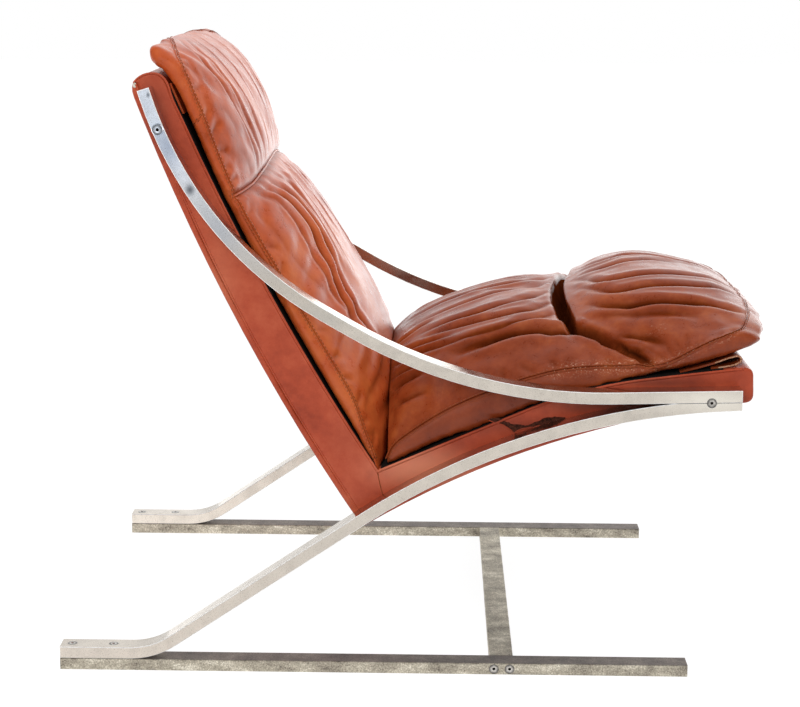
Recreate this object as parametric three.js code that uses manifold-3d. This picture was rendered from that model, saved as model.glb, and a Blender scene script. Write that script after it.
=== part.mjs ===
// Cantilever lounge chair. Two bent flat bars on each side, a leg and an arm, meet under the front of the
// seat and carry an upholstered shell with a loose seat cushion and a loose back cushion.
// Lengths are in millimetres. +X is the way the sitter faces, +Y is the sitter's left and +Z is up.
// Side views are drawn in X and Z from the rear end of the base rails. The last lines move the whole chair,
// so that the origin lies on the floor under the middle of the base crossbar.

import * as THREE from 'three';
import { mergeVertices } from 'three/addons/utils/BufferGeometryUtils.js';
import Module from 'manifold-3d';

const wasm = await Module();
wasm.setup();

// Clearances and drawing tolerances
const GAP = 0.3;                  // between two pieces that touch
const OVERRUN = 6;                // how far a cut runs past the face that it opens
const FACET_SAG = 0.12;           // furthest that a facet lies inside a true arc
const SAME_PLACE = 0.001;         // points nearer than this are one point
const ROUND_LIMIT = 0.49;         // most of an edge that the rounding of a corner may take
const ROUND_STEPS = 6;

// Flat steel bar, the same stock in the base, the legs and the arms
const CHAIR_WIDTH = 620;
const BAR_WIDTH = 30;
const BAR_THICKNESS = 15;
const BAR_EDGE = 0.8;             // eased edges of the bar

// Base rails and crossbar
const RAIL_LENGTH = 800;
const CROSSBAR_SETBACK = 564;     // rear end of the rails to the middle of the crossbar

// Where the leg and the arm meet under the front of the seat
const BAR_FRONT_X = 855;
const SEAM_HEIGHT = 358.5;
const LEG_TIP_THICKNESS = 10.5;   // the leg is dressed flat there, so that the arm lies on it

// Leg: foot, bend, slope and a long bow forward
const FOOT_LENGTH = 89.8;
const FOOT_BEND_RADIUS = 96;
const LEG_TIP_LENGTH = 20;
const LEG_TIP_HEADING = 3;
const LEG_SLOPE_RATIO = 1.45;       // slope of its middle over that of a straight line to its tip

// Arm: from its top end down, round the sitter's side and forward
const ARM_TOP_LENGTH = 10;
const ARM_MIDDLE_LENGTH = 38.5;
const ARM_FRONT_LENGTH = 161;
const ARM_HEADINGS = [-72.4, -29.9, 1.4];
const ARM_TOP_SETBACK = 23.5;     // from the rear top corner of the shell
const ARM_TOP_DROP = 8;

// Side outline of the upholstered shell
const HEEL_X = 385;
const HEEL_BELOW_SEAM = 174.5;
const CREASE_X = 404.5;           // inner corner between the seat and the back
const CREASE_BELOW_SEAM = 100.5;
const BACK_TOP_X = 98;
const BACK_TOP_ABOVE_SEAM = 386.5;
const BACK_TOP_THICKNESS = 43;
const BACK_TOP_TILT = 21;         // degrees that the top edge rises forwards
const NOSE_OVERHANG = 19;         // the shell stands proud of the bars' front ends
const NOSE_ABOVE_ARM = 23;
const NOSE_BELOW_SEAM = 6.5;
const NOSE_LEAN = 2;
const REAR_BOW = 19;
const FRONT_BOW = 13.5;
const UNDER_BOW = 29;
const SEAT_HEADINGS = [23.5, 7.2];
const SEAT_BEND_RADIUS = 560;
const TOP_ROUND = 21;
const NOSE_ROUND = 11;
const HEEL_ROUND = 6;
const SHELL_EDGE = 3.6;           // rounding of the shell's side edges
const MITRE_LEAN = 7.5;           // the mitre seam runs this far forward from the crease to the underside
const MITRE_DROP = 61;

// Layers of the shell, from the leather inwards
const LEATHER = 3;                // leather with its felt backing
const REAR_PANEL = 9;             // stiff panel behind the back
const PAD = 8;
const STRAP = 2.5;
const STRAP_WIDTH = 62;
const CHEEK = 18;                 // plywood side frames
const RAIL_DEPTH = 40;            // timber rails between them
const NOSE_RAIL_DEPTH = 26;
const UNDER_CLOTH = 1.5;
const UNDER_LIP = 20;
const PAD_MARGIN = 30;
const WADDING = 1.6;              // between the frame and the leather at the top and the nose
const STRAP_COUNT = 4;

// Screws
const SCREW_RADIUS = 3;
const SCREW_HEAD_RADIUS = 6;
const SCREW_HEAD_DEPTH = 3.2;
const SCREW_RIM = 0.5;
const SCREW_TIP = 1;
const SOCKET_RADIUS = 2.3;
const SOCKET_DEPTH = 2.6;
const FOOT_SCREW_LENGTH = 26;
const FOOT_SCREW_INSET = 14;      // from the rear end of the foot
const FOOT_SCREW_SPACING = 53;
const CROSSBAR_SCREW_LENGTH = 52;
const CROSSBAR_SCREW_SPACING = 20;
const SHELL_SCREW_LENGTH = 50;
const WASHER_RADIUS = 7.4;
const WASHER_HEIGHT = 2.4;
const ARM_SCREW_DROP = 51;        // from the arm's top end, along the arm
const SEAT_SCREW_SETBACK = 38;    // from the front ends of the bars
const NUT_BARREL_RADIUS = 4.5;
const NUT_BARREL_LENGTH = 14;
const NUT_FLANGE_RADIUS = 7.4;
const NUT_FLANGE = 1.5;

// Cushions. Their sections are drawn along the shell's seat or back, in shares of a length and a crown.
const CUSHION_MARGIN = 7.7;       // in from the shell's sides
const CUSHION_DRAW_IN = 7;        // how far the sides pull in between the corners
const CUSHION_SEAT_GAP = 0.8;     // under and behind the cushions
const CONTACT_SETBACK = 11.5;     // crease to the plane where the two cushions meet
const SEAT_CUSHION_LENGTH = 530;
const SEAT_CUSHION_CROWN = 122;
const SEAT_GROOVE_DEPTH = 40;
const BACK_CUSHION_LENGTH = 606;
const BACK_CUSHION_CROWN = 94;
const BACK_CREASE_DEPTH = 13;
const LOFT_STEPS = 8;             // sections from the middle of a cushion to one side
const LOOP_STEPS = 4;             // points from one control point of a section to the next
const CROWN_POWER = 2.8;
const CROWN_FULLNESS = 0.85;

// Each row holds, for one control point of a cushion's section, the side seam's share of the length and of
// the crown, and then the same two shares in the middle of the cushion. The rows go round from the rear of
// the underside to the front and back over the top.
const SEAT_SECTION_SHARES = [
  [0.030, 0.025, 0.020, 0.006],
  [0.370, 0.035, 0.370, 0.006],
  [0.690, 0.030, 0.690, 0.010],
  [0.800, 0.085, 0.800, 0.080],
  [0.905, 0.170, 0.905, 0.155],
  [0.945, 0.250, 0.997, 0.190],
  [0.895, 0.440, 0.945, 0.430],
  [0.802, 0.307, 0.872, 0.670],
  [0.770, 0.190, 0.733, 0.864],
  [0.715, 0.110, 0.604, 0.810],
  [0.640, 0.140, 0.500, 0.768],
  [0.450, 0.280, 0.360, 0.899],
  [0.230, 0.310, 0.190, 0.928],
  [0.075, 0.210, 0.065, 0.693],
  [0.033, 0.100, 0.018, 0.330],
];
const SEAT_GROOVE_AT = 9.55;       // between two rows of the table

const BACK_SECTION_SHARES = [
  [0.006, 0.012, 0.006, 0.012],
  [0.018, 0.070, 0.024, 0.281],
  [0.085, 0.150, 0.085, 0.637],
  [0.170, 0.250, 0.170, 0.800],
  [0.330, 0.245, 0.315, 0.870],
  [0.495, 0.215, 0.490, 0.802],
  [0.625, 0.180, 0.620, 0.661],
  [0.710, 0.215, 0.712, 0.657],
  [0.822, 0.273, 0.822, 0.702],
  [0.934, 0.265, 0.895, 0.567],
  [0.964, 0.177, 0.950, 0.310],
  [0.984, -0.014, 0.998, -0.059],
  [0.949, -0.021, 0.955, -0.040],
  [0.900, 0.042, 0.900, 0.045],
  [0.810, 0.044, 0.810, 0.044],
  [0.650, 0.010, 0.650, 0.010],
  [0.330, 0.010, 0.330, 0.010],
];
const BACK_CREASE_AT = 6.5;

// Leather flaps that tie each cushion to the shell
const FLAP_THICKNESS = 2.4;
const FLAP_MARGIN = 15.7;         // in from the shell's sides
const SEAT_FLAP_LENGTH = 78;
const SEAT_FLAP_HEIGHT = 17;
const SEAT_FLAP_SETBACK = 90;     // from the shell's nose back to where the flap starts
const SEAT_FLAP_SHARES = [
  [0.00, 0.09],
  [0.30, 0.26],
  [0.58, 0.48],
  [0.82, 0.74],
  [0.96, 0.76],
  [1.00, 0.50],
  [0.93, 0.22],
  [0.72, 0.10],
  [0.50, 0.09],
];
const BACK_FLAP_START = 508;
const BACK_FLAP_LENGTH = 40;
const BACK_FLAP_CLEARANCE = 2.1;

// Finishes
const finish = (name, color, roughness, metalness) => {
  const material = new THREE.MeshStandardMaterial({ color, roughness, metalness });
  material.name = name;
  return material;
};
const CHROME = finish('chrome', 0xd4d2cf, 0.18, 1);
const DULL_STEEL = finish('dull_steel', 0x9b948a, 0.45, 1);
const SCREW_STEEL = finish('screw_steel', 0xb9b7b2, 0.3, 1);
const SHELL_LEATHER = finish('shell_leather', 0xa24a2e, 0.5, 0);
const CUSHION_LEATHER = finish('cushion_leather', 0xb4552f, 0.42, 0);
const PLYWOOD = finish('plywood', 0xc9a877, 0.7, 0);
const WEBBING = finish('webbing', 0x6b5a41, 0.9, 0);
const FELT = finish('felt', 0xd8d2c4, 0.95, 0);
const BLACK_CLOTH = finish('black_cloth', 0x1c1b1a, 0.95, 0);

const chair = new THREE.Group();

function add(name, material, geometry) {
  const mesh = new THREE.Mesh(geometry, material);
  mesh.name = name;
  chair.add(mesh);
}

const SIDES = [['right', -1], ['left', 1]];

// Joining and cutting closed meshes
function toSolid(geometry) {
  const bare = geometry.clone();
  bare.deleteAttribute('normal');
  bare.deleteAttribute('uv');
  const merged = mergeVertices(bare);
  const vertProperties = new Float32Array(merged.attributes.position.array);
  const triVerts = new Uint32Array(merged.index.array);
  return new wasm.Manifold(new wasm.Mesh({ numProp: 3, vertProperties, triVerts }));
}

function toGeometry(solid) {
  const mesh = solid.getMesh();
  const geometry = new THREE.BufferGeometry();
  geometry.setAttribute('position', new THREE.BufferAttribute(mesh.vertProperties, mesh.numProp));
  geometry.setIndex(new THREE.BufferAttribute(mesh.triVerts, 1));
  geometry.computeVertexNormals();
  return geometry;
}

function cut(geometry, ...cutters) {
  const start = toSolid(geometry);
  return toGeometry(cutters.reduce((solid, cutter) => solid.subtract(toSolid(cutter)), start));
}

function common(geometry, ...regions) {
  const start = toSolid(geometry);
  return toGeometry(regions.reduce((solid, region) => solid.intersect(toSolid(region)), start));
}

// Side views: lists of points in X and Z
const point = (x, z) => new THREE.Vector2(x, z);
const radians = THREE.MathUtils.degToRad;
const wayOf = (degrees) => point(Math.cos(radians(degrees)), Math.sin(radians(degrees)));
const along = (degrees, length) => wayOf(degrees).multiplyScalar(length);
const degreesOf = (way) => THREE.MathUtils.radToDeg(Math.atan2(way.y, way.x));
const leftOf = (direction) => point(-direction.y, direction.x);

function arcStepCount(radius, degrees) {
  const step = 2 * Math.acos(1 - Math.min(FACET_SAG / radius, 1));
  return Math.max(1, Math.ceil(Math.abs(radians(degrees)) / step));
}

// Displacement along an arc that turns from one heading to another
function arcTo(fromDegrees, toDegrees, radius) {
  const side = Math.sign(toDegrees - fromDegrees);
  return leftOf(along(fromDegrees, side * radius)).sub(leftOf(along(toDegrees, side * radius)));
}

// Straight runs with bends between them, one heading to a run. Two of the runs and radii are left out, as
// null, and are worked out so that the path ends in its place.
function bentPath(start, end, headings, runs, radii) {
  const runWays = headings.map((heading) => along(heading, 1));
  const bendWays = radii.map((radius, k) => arcTo(headings[k], headings[k + 1], 1));
  const ways = [...runWays, ...bendWays];
  const lengths = [...runs, ...radii];
  const rest = end.clone().sub(start);
  ways.forEach((way, k) => rest.addScaledVector(way, -(lengths[k] ?? 0)));
  const [p, q] = lengths.flatMap((length, k) => (length === null ? [k] : []));
  lengths[p] = rest.cross(ways[q]) / ways[p].cross(ways[q]);
  lengths[q] = rest.cross(ways[p]) / ways[q].cross(ways[p]);
  const points = [start.clone()];
  headings.forEach((heading, k) => {
    points.push(points.at(-1).clone().addScaledVector(ways[k], lengths[k]));
    if (k < radii.length) addArc(points, heading, headings[k + 1], lengths[headings.length + k]);
  });
  return points;
}

function addArc(points, fromDegrees, toDegrees, radius) {
  const start = points.at(-1).clone();
  const count = arcStepCount(radius, toDegrees - fromDegrees);
  for (let i = 1; i <= count; i += 1) {
    const heading = THREE.MathUtils.lerp(fromDegrees, toDegrees, i / count);
    points.push(start.clone().add(arcTo(fromDegrees, heading, radius)));
  }
}

// Shallow arc between two points that bows to the left of the way it goes, or to the right if negative
function bowedPath(start, end, bow) {
  const chord = end.clone().sub(start);
  const half = chord.length() / 2;
  const radius = (half * half + bow * bow) / (2 * Math.abs(bow));
  const halfTurn = Math.asin(half / radius);
  const middle = start.clone().add(end).multiplyScalar(0.5);
  const across = leftOf(chord.clone().normalize()).multiplyScalar(Math.sign(bow));
  const count = arcStepCount(radius, THREE.MathUtils.radToDeg(2 * halfTurn));
  const points = [];
  for (let i = 0; i <= count; i += 1) {
    const turn = halfTurn * (2 * i / count - 1);
    const reach = Math.sin(turn) * radius / half / 2;
    const lift = Math.cos(turn) * radius - (radius - Math.abs(bow));
    points.push(middle.clone().addScaledVector(chord, reach).addScaledVector(across, lift));
  }
  return points;
}

function headingAt(points, index) {
  const before = points[Math.max(index - 1, 0)];
  const after = points[Math.min(index + 1, points.length - 1)];
  return after.clone().sub(before).normalize();
}

// The same path moved sideways, to its left if the distance is positive
function offset(points, distance) {
  return points.map((p, i) => p.clone().addScaledVector(leftOf(headingAt(points, i)), distance));
}

function extend(points, length) {
  const beyond = (end, next) => end.clone().addScaledVector(end.clone().sub(next).normalize(), length);
  return [beyond(points[0], points[1]), ...points, beyond(points.at(-1), points.at(-2))];
}

function pathLength(points) {
  return points.slice(1).reduce((sum, p, i) => sum + p.distanceTo(points[i]), 0);
}

// Point at a distance along a path, moved sideways. Past either end it goes straight on.
function locate(points, distance, sideways) {
  let left = distance;
  let i = 0;
  while (i < points.length - 2 && left > points[i].distanceTo(points[i + 1])) {
    left -= points[i].distanceTo(points[i + 1]);
    i += 1;
  }
  const share = left / points[i].distanceTo(points[i + 1]);
  const on = points[i].clone().lerp(points[i + 1], share);
  const turned = THREE.MathUtils.clamp(share, 0, 1);
  const heading = headingAt(points, i).lerp(headingAt(points, i + 1), turned).normalize();
  return on.addScaledVector(leftOf(heading), sideways);
}

// Part of a path between two distances along it
function stretch(points, from, to) {
  const inner = [];
  let travelled = 0;
  points.forEach((p, i) => {
    travelled += i ? p.distanceTo(points[i - 1]) : 0;
    if (travelled > from && travelled < to) inner.push(p.clone());
  });
  return [locate(points, from, 0), ...inner, locate(points, to, 0)];
}

// Closed strip between two sideways distances from a path
function strip(points, right, left) {
  return [...offset(points, right), ...offset(points, left).reverse()];
}

// Where two paths cross, searched from the end of the first and the start of the second
function corner(first, second) {
  for (let j = 0; j < second.length - 1; j += 1) {
    for (let i = first.length - 2; i >= 0; i -= 1) {
      const a = first[i + 1].clone().sub(first[i]);
      const b = second[j + 1].clone().sub(second[j]);
      const between = second[j].clone().sub(first[i]);
      const turn = a.cross(b);
      const s = between.cross(b) / turn;
      const t = between.cross(a) / turn;
      const crosses = s >= 0 && s <= 1 && t >= 0 && t <= 1;
      if (crosses) return { i, j, place: first[i].clone().addScaledVector(a, s) };
    }
  }
  throw new Error('two outlines do not meet');
}

// Closed outline from paths that follow each other, each moved inwards by its own distance
function insetOutline(paths, insets, rounds) {
  const reach = OVERRUN + Math.max(...insets.map(Math.abs)) * 3;
  const moved = paths.map((path, k) => extend(offset(path, insets[k]), reach));
  const corners = moved.map((path, k) => corner(path, moved[(k + 1) % moved.length]));
  const trimmed = moved.map((path, k) => {
    const start = corners[(k + moved.length - 1) % moved.length];
    const end = corners[k];
    const inner = path.slice(start.j + 1, end.i + 1);
    const isClear = (p) => [start, end].every(({ place }) => p.distanceTo(place) > SAME_PLACE);
    return [start.place, ...inner.filter(isClear), end.place];
  });
  const lengths = trimmed.map(pathLength);
  const after = (k) => lengths[(k + 1) % lengths.length];
  const limits = lengths.map((length, k) => ROUND_LIMIT * Math.min(length, after(k)));
  const reaches = rounds.map((round, k) => Math.min(round, limits[k]));
  return trimmed.flatMap((path, k) => {
    const before = reaches[(k + reaches.length - 1) % reaches.length];
    const body = stretch(path, before, lengths[k] - reaches[k]);
    if (reaches[k] === 0) return body.slice(0, -1);
    const away = locate(trimmed[(k + 1) % trimmed.length], reaches[k], 0);
    const curve = new THREE.QuadraticBezierCurve(body.at(-1), path.at(-1), away);
    return [...body, ...curve.getPoints(ROUND_STEPS).slice(1, -1)];
  });
}

// Solid of a side view, as wide as given and centred at y
function across(outline, width, y = 0, edge = 0) {
  const shape = new THREE.Shape(outline);
  const settings = {
    depth: width - 2 * edge,
    bevelEnabled: edge > 0,
    bevelThickness: edge,
    bevelSize: edge,
    bevelOffset: -edge,
    bevelSegments: edge > BAR_EDGE ? 3 : 1,
  };
  const geometry = new THREE.ExtrudeGeometry(shape, settings);
  geometry.translate(0, 0, -(width - 2 * edge) / 2);
  geometry.rotateX(Math.PI / 2);
  geometry.translate(0, y, 0);
  return geometry;
}

// Turned pieces. A profile runs from the bottom of the axis to its top, and the head looks along the axis.
function turned(profile, place, axis, facets = 20) {
  const geometry = new THREE.LatheGeometry(profile, facets);
  geometry.rotateX(Math.PI / 2);
  return aim(geometry, place, axis);
}

function aim(geometry, place, axis) {
  const turn = new THREE.Quaternion().setFromUnitVectors(new THREE.Vector3(0, 0, 1), axis);
  geometry.applyQuaternion(turn);
  geometry.translate(place.x, place.y, place.z);
  return geometry;
}

// Countersunk screw with a hexagon socket, its head flush with the place given
function screw(length, place, axis) {
  const profile = [
    point(0, -length),
    point(SCREW_RADIUS - SCREW_TIP, -length),
    point(SCREW_RADIUS, -length + SCREW_TIP),
    point(SCREW_RADIUS, -SCREW_HEAD_DEPTH),
    point(SCREW_HEAD_RADIUS, -SCREW_RIM),
    point(SCREW_HEAD_RADIUS, 0),
    point(0, 0),
  ];
  const socket = new THREE.CylinderGeometry(SOCKET_RADIUS, SOCKET_RADIUS, SOCKET_DEPTH * 2, 6);
  socket.rotateX(Math.PI / 2);
  return cut(turned(profile, place, axis), aim(socket, place, axis));
}

// Hole for such a screw, open at its head, with the named gap all round
function screwHole(length, place, axis) {
  const shaft = SCREW_RADIUS + GAP;
  const head = SCREW_HEAD_RADIUS + GAP;
  const profile = [
    point(0, -length - GAP),
    point(shaft, -length - GAP),
    point(shaft, -SCREW_HEAD_DEPTH),
    point(head, -SCREW_RIM),
    point(head, OVERRUN),
    point(0, OVERRUN),
  ];
  return turned(profile, place, axis);
}

function plainHole(radius, depth, place, axis) {
  const profile = [point(0, -depth), point(radius, -depth), point(radius, OVERRUN), point(0, OVERRUN)];
  return turned(profile, place, axis);
}

const UP = new THREE.Vector3(0, 0, 1);
const outward = (side) => new THREE.Vector3(0, side, 0);
const barY = (side) => side * (CHAIR_WIDTH - BAR_WIDTH) / 2;
const outerY = (side) => side * CHAIR_WIDTH / 2;
const SHELL_WIDTH = CHAIR_WIDTH - 2 * BAR_WIDTH - 2 * GAP;

// Paths of the leg and the arm, along the middle of the bar
const legTipLift = BAR_THICKNESS / 2 - LEG_TIP_THICKNESS;
const legStart = point(0, BAR_THICKNESS + GAP + BAR_THICKNESS / 2);
const legEnd = point(BAR_FRONT_X, SEAM_HEIGHT + legTipLift);
const legSlope = degreesOf(legEnd.clone().sub(legStart).sub(point(FOOT_LENGTH, 0)));
const legPath = bentPath(
  legStart,
  legEnd,
  [0, LEG_SLOPE_RATIO * legSlope, LEG_TIP_HEADING],
  [FOOT_LENGTH, null, LEG_TIP_LENGTH],
  [FOOT_BEND_RADIUS, null],
);
const armPath = bentPath(
  point(BACK_TOP_X + ARM_TOP_SETBACK, SEAM_HEIGHT + BACK_TOP_ABOVE_SEAM - ARM_TOP_DROP),
  point(BAR_FRONT_X, SEAM_HEIGHT + BAR_THICKNESS / 2),
  ARM_HEADINGS,
  [ARM_TOP_LENGTH, ARM_MIDDLE_LENGTH, ARM_FRONT_LENGTH],
  [null, null],
);

// Places of the screws
const footScrewPlaces = (side) => [0, 1].map((k) => new THREE.Vector3(
  FOOT_SCREW_INSET + k * FOOT_SCREW_SPACING,
  barY(side),
  2 * BAR_THICKNESS + GAP,
));
const crossbarScrewPlaces = (side) => [-1, 1].map((k) => new THREE.Vector3(
  CROSSBAR_SETBACK + k * CROSSBAR_SCREW_SPACING / 2,
  outerY(side),
  BAR_THICKNESS / 2,
));
const armScrewXZ = locate(armPath, ARM_SCREW_DROP, 0);
const seatScrewXZ = locate(armPath, pathLength(armPath) - SEAT_SCREW_SETBACK, -BAR_THICKNESS / 2);
const washerTopY = (side) => outerY(side) + side * WASHER_HEIGHT;
const armScrewPlace = (side) => new THREE.Vector3(armScrewXZ.x, washerTopY(side), armScrewXZ.y);
const seatScrewPlace = (side) => new THREE.Vector3(seatScrewXZ.x, outerY(side), seatScrewXZ.y);

// Base: two rails on the floor and a crossbar between them, screwed through the rails
function addBase() {
  const SCREW_ENDS = ['rear', 'front'];
  for (const [name, side] of SIDES) {
    const outline = [
      point(0, 0),
      point(RAIL_LENGTH, 0),
      point(RAIL_LENGTH, BAR_THICKNESS),
      point(0, BAR_THICKNESS),
    ];
    const holes = [
      ...crossbarScrewPlaces(side).map((place) => screwHole(CROSSBAR_SCREW_LENGTH, place, outward(side))),
      ...footScrewPlaces(side).map((place) => screwHole(FOOT_SCREW_LENGTH, place, UP)),
    ];
    add(`base_rail_${name}`, DULL_STEEL, cut(across(outline, BAR_WIDTH, barY(side), BAR_EDGE), ...holes));
    crossbarScrewPlaces(side).forEach((place, k) => {
      const body = screw(CROSSBAR_SCREW_LENGTH, place, outward(side));
      add(`crossbar_screw_${name}_${SCREW_ENDS[k]}`, SCREW_STEEL, body);
    });
    footScrewPlaces(side).forEach((place, k) => {
      add(`foot_screw_${name}_${SCREW_ENDS[k]}`, SCREW_STEEL, screw(FOOT_SCREW_LENGTH, place, UP));
    });
  }
  const half = BAR_WIDTH / 2;
  const section = [
    point(CROSSBAR_SETBACK - half, 0),
    point(CROSSBAR_SETBACK + half, 0),
    point(CROSSBAR_SETBACK + half, BAR_THICKNESS),
    point(CROSSBAR_SETBACK - half, BAR_THICKNESS),
  ];
  const holes = SIDES.flatMap(([, side]) => crossbarScrewPlaces(side).map(
    (place) => screwHole(CROSSBAR_SCREW_LENGTH, place, outward(side)),
  ));
  add('base_crossbar', DULL_STEEL, cut(across(section, SHELL_WIDTH), ...holes));
}

// Legs and arms: the same flat bar, bent on its flat. The arm lies on the dressed tip of the leg, and one
// screw on the line between them goes through both into the shell.
function addBars() {
  const half = BAR_THICKNESS / 2;
  const legOutline = strip(legPath, -half, half);
  const armOutline = strip(armPath, -half, half);
  const frontRise = along(ARM_HEADINGS[2], BAR_FRONT_X / 4);
  const seam = point(BAR_FRONT_X, SEAM_HEIGHT - GAP);
  const dressed = [
    seam.clone().sub(frontRise),
    seam.clone().add(along(ARM_HEADINGS[2], OVERRUN)),
    seam.clone().add(along(ARM_HEADINGS[2], OVERRUN)).add(point(0, 2 * BAR_THICKNESS)),
    seam.clone().sub(frontRise).add(point(0, 2 * BAR_THICKNESS)),
  ];
  for (const [name, side] of SIDES) {
    const seatHole = screwHole(SHELL_SCREW_LENGTH, seatScrewPlace(side), outward(side));
    const leg = across(legOutline, BAR_WIDTH, barY(side), BAR_EDGE);
    const footHoles = footScrewPlaces(side).map((place) => screwHole(FOOT_SCREW_LENGTH, place, UP));
    const dressing = across(dressed, BAR_WIDTH + 2 * OVERRUN, barY(side));
    add(`leg_${name}`, CHROME, cut(leg, dressing, seatHole, ...footHoles));

    const arm = across(armOutline, BAR_WIDTH, barY(side), BAR_EDGE);
    const armHole = screwHole(SHELL_SCREW_LENGTH, armScrewPlace(side), outward(side));
    add(`arm_${name}`, CHROME, cut(arm, seatHole, armHole));

    add(`seat_screw_${name}`, SCREW_STEEL, screw(SHELL_SCREW_LENGTH, seatScrewPlace(side), outward(side)));
    add(`arm_screw_${name}`, SCREW_STEEL, screw(SHELL_SCREW_LENGTH, armScrewPlace(side), outward(side)));
    add(`arm_washer_${name}`, SCREW_STEEL, cupWasher(side));
  }
}

// Cup washer under the head of the arm's screw, with a coned seat
function cupWasher(side) {
  const place = armScrewPlace(side);
  const foot = -WASHER_HEIGHT + GAP;
  const cone = (SCREW_HEAD_RADIUS - SCREW_RADIUS) / (SCREW_HEAD_DEPTH - SCREW_RIM);
  const bore = SCREW_RADIUS + GAP + (SCREW_HEAD_DEPTH + foot) * cone;
  const profile = [
    point(bore, foot),
    point(WASHER_RADIUS, foot),
    point(SCREW_HEAD_RADIUS + 2 * GAP, 0),
    point(SCREW_HEAD_RADIUS + GAP, 0),
    point(SCREW_HEAD_RADIUS + GAP, -SCREW_RIM),
    point(bore, foot),
  ];
  return turned(profile, place, outward(side));
}

// Side outline of the shell, as paths that go round it in order
const NOSE_X = BAR_FRONT_X + NOSE_OVERHANG;
const heel = point(HEEL_X, SEAM_HEIGHT - HEEL_BELOW_SEAM);
const crease = point(CREASE_X, SEAM_HEIGHT - CREASE_BELOW_SEAM);
const rearTop = point(BACK_TOP_X, SEAM_HEIGHT + BACK_TOP_ABOVE_SEAM);
const frontTop = rearTop.clone().add(along(BACK_TOP_TILT, BACK_TOP_THICKNESS));
const noseBottom = point(NOSE_X, SEAM_HEIGHT - NOSE_BELOW_SEAM);
const noseTop = point(NOSE_X - NOSE_LEAN, SEAM_HEIGHT + BAR_THICKNESS + NOSE_ABOVE_ARM);
const seatPath = bentPath(crease, noseTop, SEAT_HEADINGS, [null, null], [SEAT_BEND_RADIUS]);
const backPath = bowedPath(crease, frontTop, FRONT_BOW);
const SHELL_PATHS = [
  bowedPath(heel, noseBottom, UNDER_BOW),
  [noseBottom, noseTop],
  [...seatPath].reverse(),
  backPath,
  [frontTop, rearTop],
  bowedPath(rearTop, heel, -REAR_BOW),
];
const SHELL_ROUNDS = [NOSE_ROUND, NOSE_ROUND, 0, TOP_ROUND, TOP_ROUND, HEEL_ROUND];

function shellOutline({ under, nose, seat, back, top, rear }, round = 1) {
  return insetOutline(SHELL_PATHS, [under, nose, seat, back, top, rear], SHELL_ROUNDS.map((r) => r * round));
}

// Half of the side view behind the mitre seam, or in front of it
function mitreSide(isRear) {
  const down = point(MITRE_LEAN, -MITRE_DROP).normalize();
  const reach = CHAIR_WIDTH * 2;
  const shift = isRear ? 0 : GAP;
  const low = crease.clone().addScaledVector(down, reach).add(point(shift, 0));
  const high = crease.clone().addScaledVector(down, -reach).add(point(shift, 0));
  const away = isRear ? -reach : reach;
  const far = [point(high.x + away, high.y), point(low.x + away, low.y)];
  const outline = isRear ? [low, high, ...far] : [high, low, ...far.reverse()];
  return across(outline, CHAIR_WIDTH);
}

// Shell: leather covers over a plywood and timber frame with webbing and thin pads
function addShell() {
  const frontLayers = LEATHER + PAD + STRAP + 3 * GAP;
  const flush = { under: 0, nose: 0, seat: 0, back: 0, top: 0, rear: 0 };
  const body = across(shellOutline(flush), SHELL_WIDTH, 0, SHELL_EDGE);
  const wall = {
    under: LEATHER,
    nose: LEATHER,
    seat: LEATHER,
    back: LEATHER,
    top: LEATHER,
    rear: REAR_PANEL / 2,
  };
  const hollow = across(shellOutline(wall), SHELL_WIDTH - 2 * LEATHER);
  const rearPath = extend(SHELL_PATHS[5], REAR_PANEL);
  const rearBand = across(strip(rearPath, -OVERRUN, REAR_PANEL), CHAIR_WIDTH);
  const rearBandClear = across(strip(rearPath, -OVERRUN, REAR_PANEL + GAP), CHAIR_WIDTH);
  const screws = SIDES.flatMap(([, side]) => [armScrewPlace(side), seatScrewPlace(side)].map(
    (place) => plainHole(SCREW_RADIUS + GAP, SHELL_SCREW_LENGTH, place, outward(side)),
  ));

  add('outer_back', SHELL_LEATHER, common(body, rearBand));
  add('back_cover', SHELL_LEATHER, cut(common(body, mitreSide(true)), rearBandClear, hollow, ...screws));

  const underPath = SHELL_PATHS[0];
  const underOpening = across(
    strip(stretch(underPath, -OVERRUN, pathLength(underPath) - UNDER_LIP), -OVERRUN, LEATHER + GAP),
    SHELL_WIDTH - 2 * UNDER_LIP,
  );
  const seatOuter = common(body, mitreSide(false));
  add('seat_cover', SHELL_LEATHER, cut(seatOuter, hollow, underOpening, ...screws));

  const clothInset = LEATHER + GAP;
  const clothStart = MITRE_DROP / 2 + OVERRUN;
  const clothPath = stretch(underPath, clothStart, pathLength(underPath) - NOSE_ROUND);
  const cloth = strip(clothPath, clothInset, clothInset + UNDER_CLOTH);
  add('underside_cloth', BLACK_CLOTH, across(cloth, SHELL_WIDTH - 2 * (LEATHER + GAP)));

  const frame = {
    under: LEATHER + UNDER_CLOTH + 2 * GAP,
    nose: LEATHER + WADDING,
    seat: frontLayers,
    back: frontLayers,
    top: LEATHER + WADDING,
    rear: REAR_PANEL + 2 * GAP,
  };
  addFrame(shellOutline(frame, 0.5));
  addLayers();
}

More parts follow.
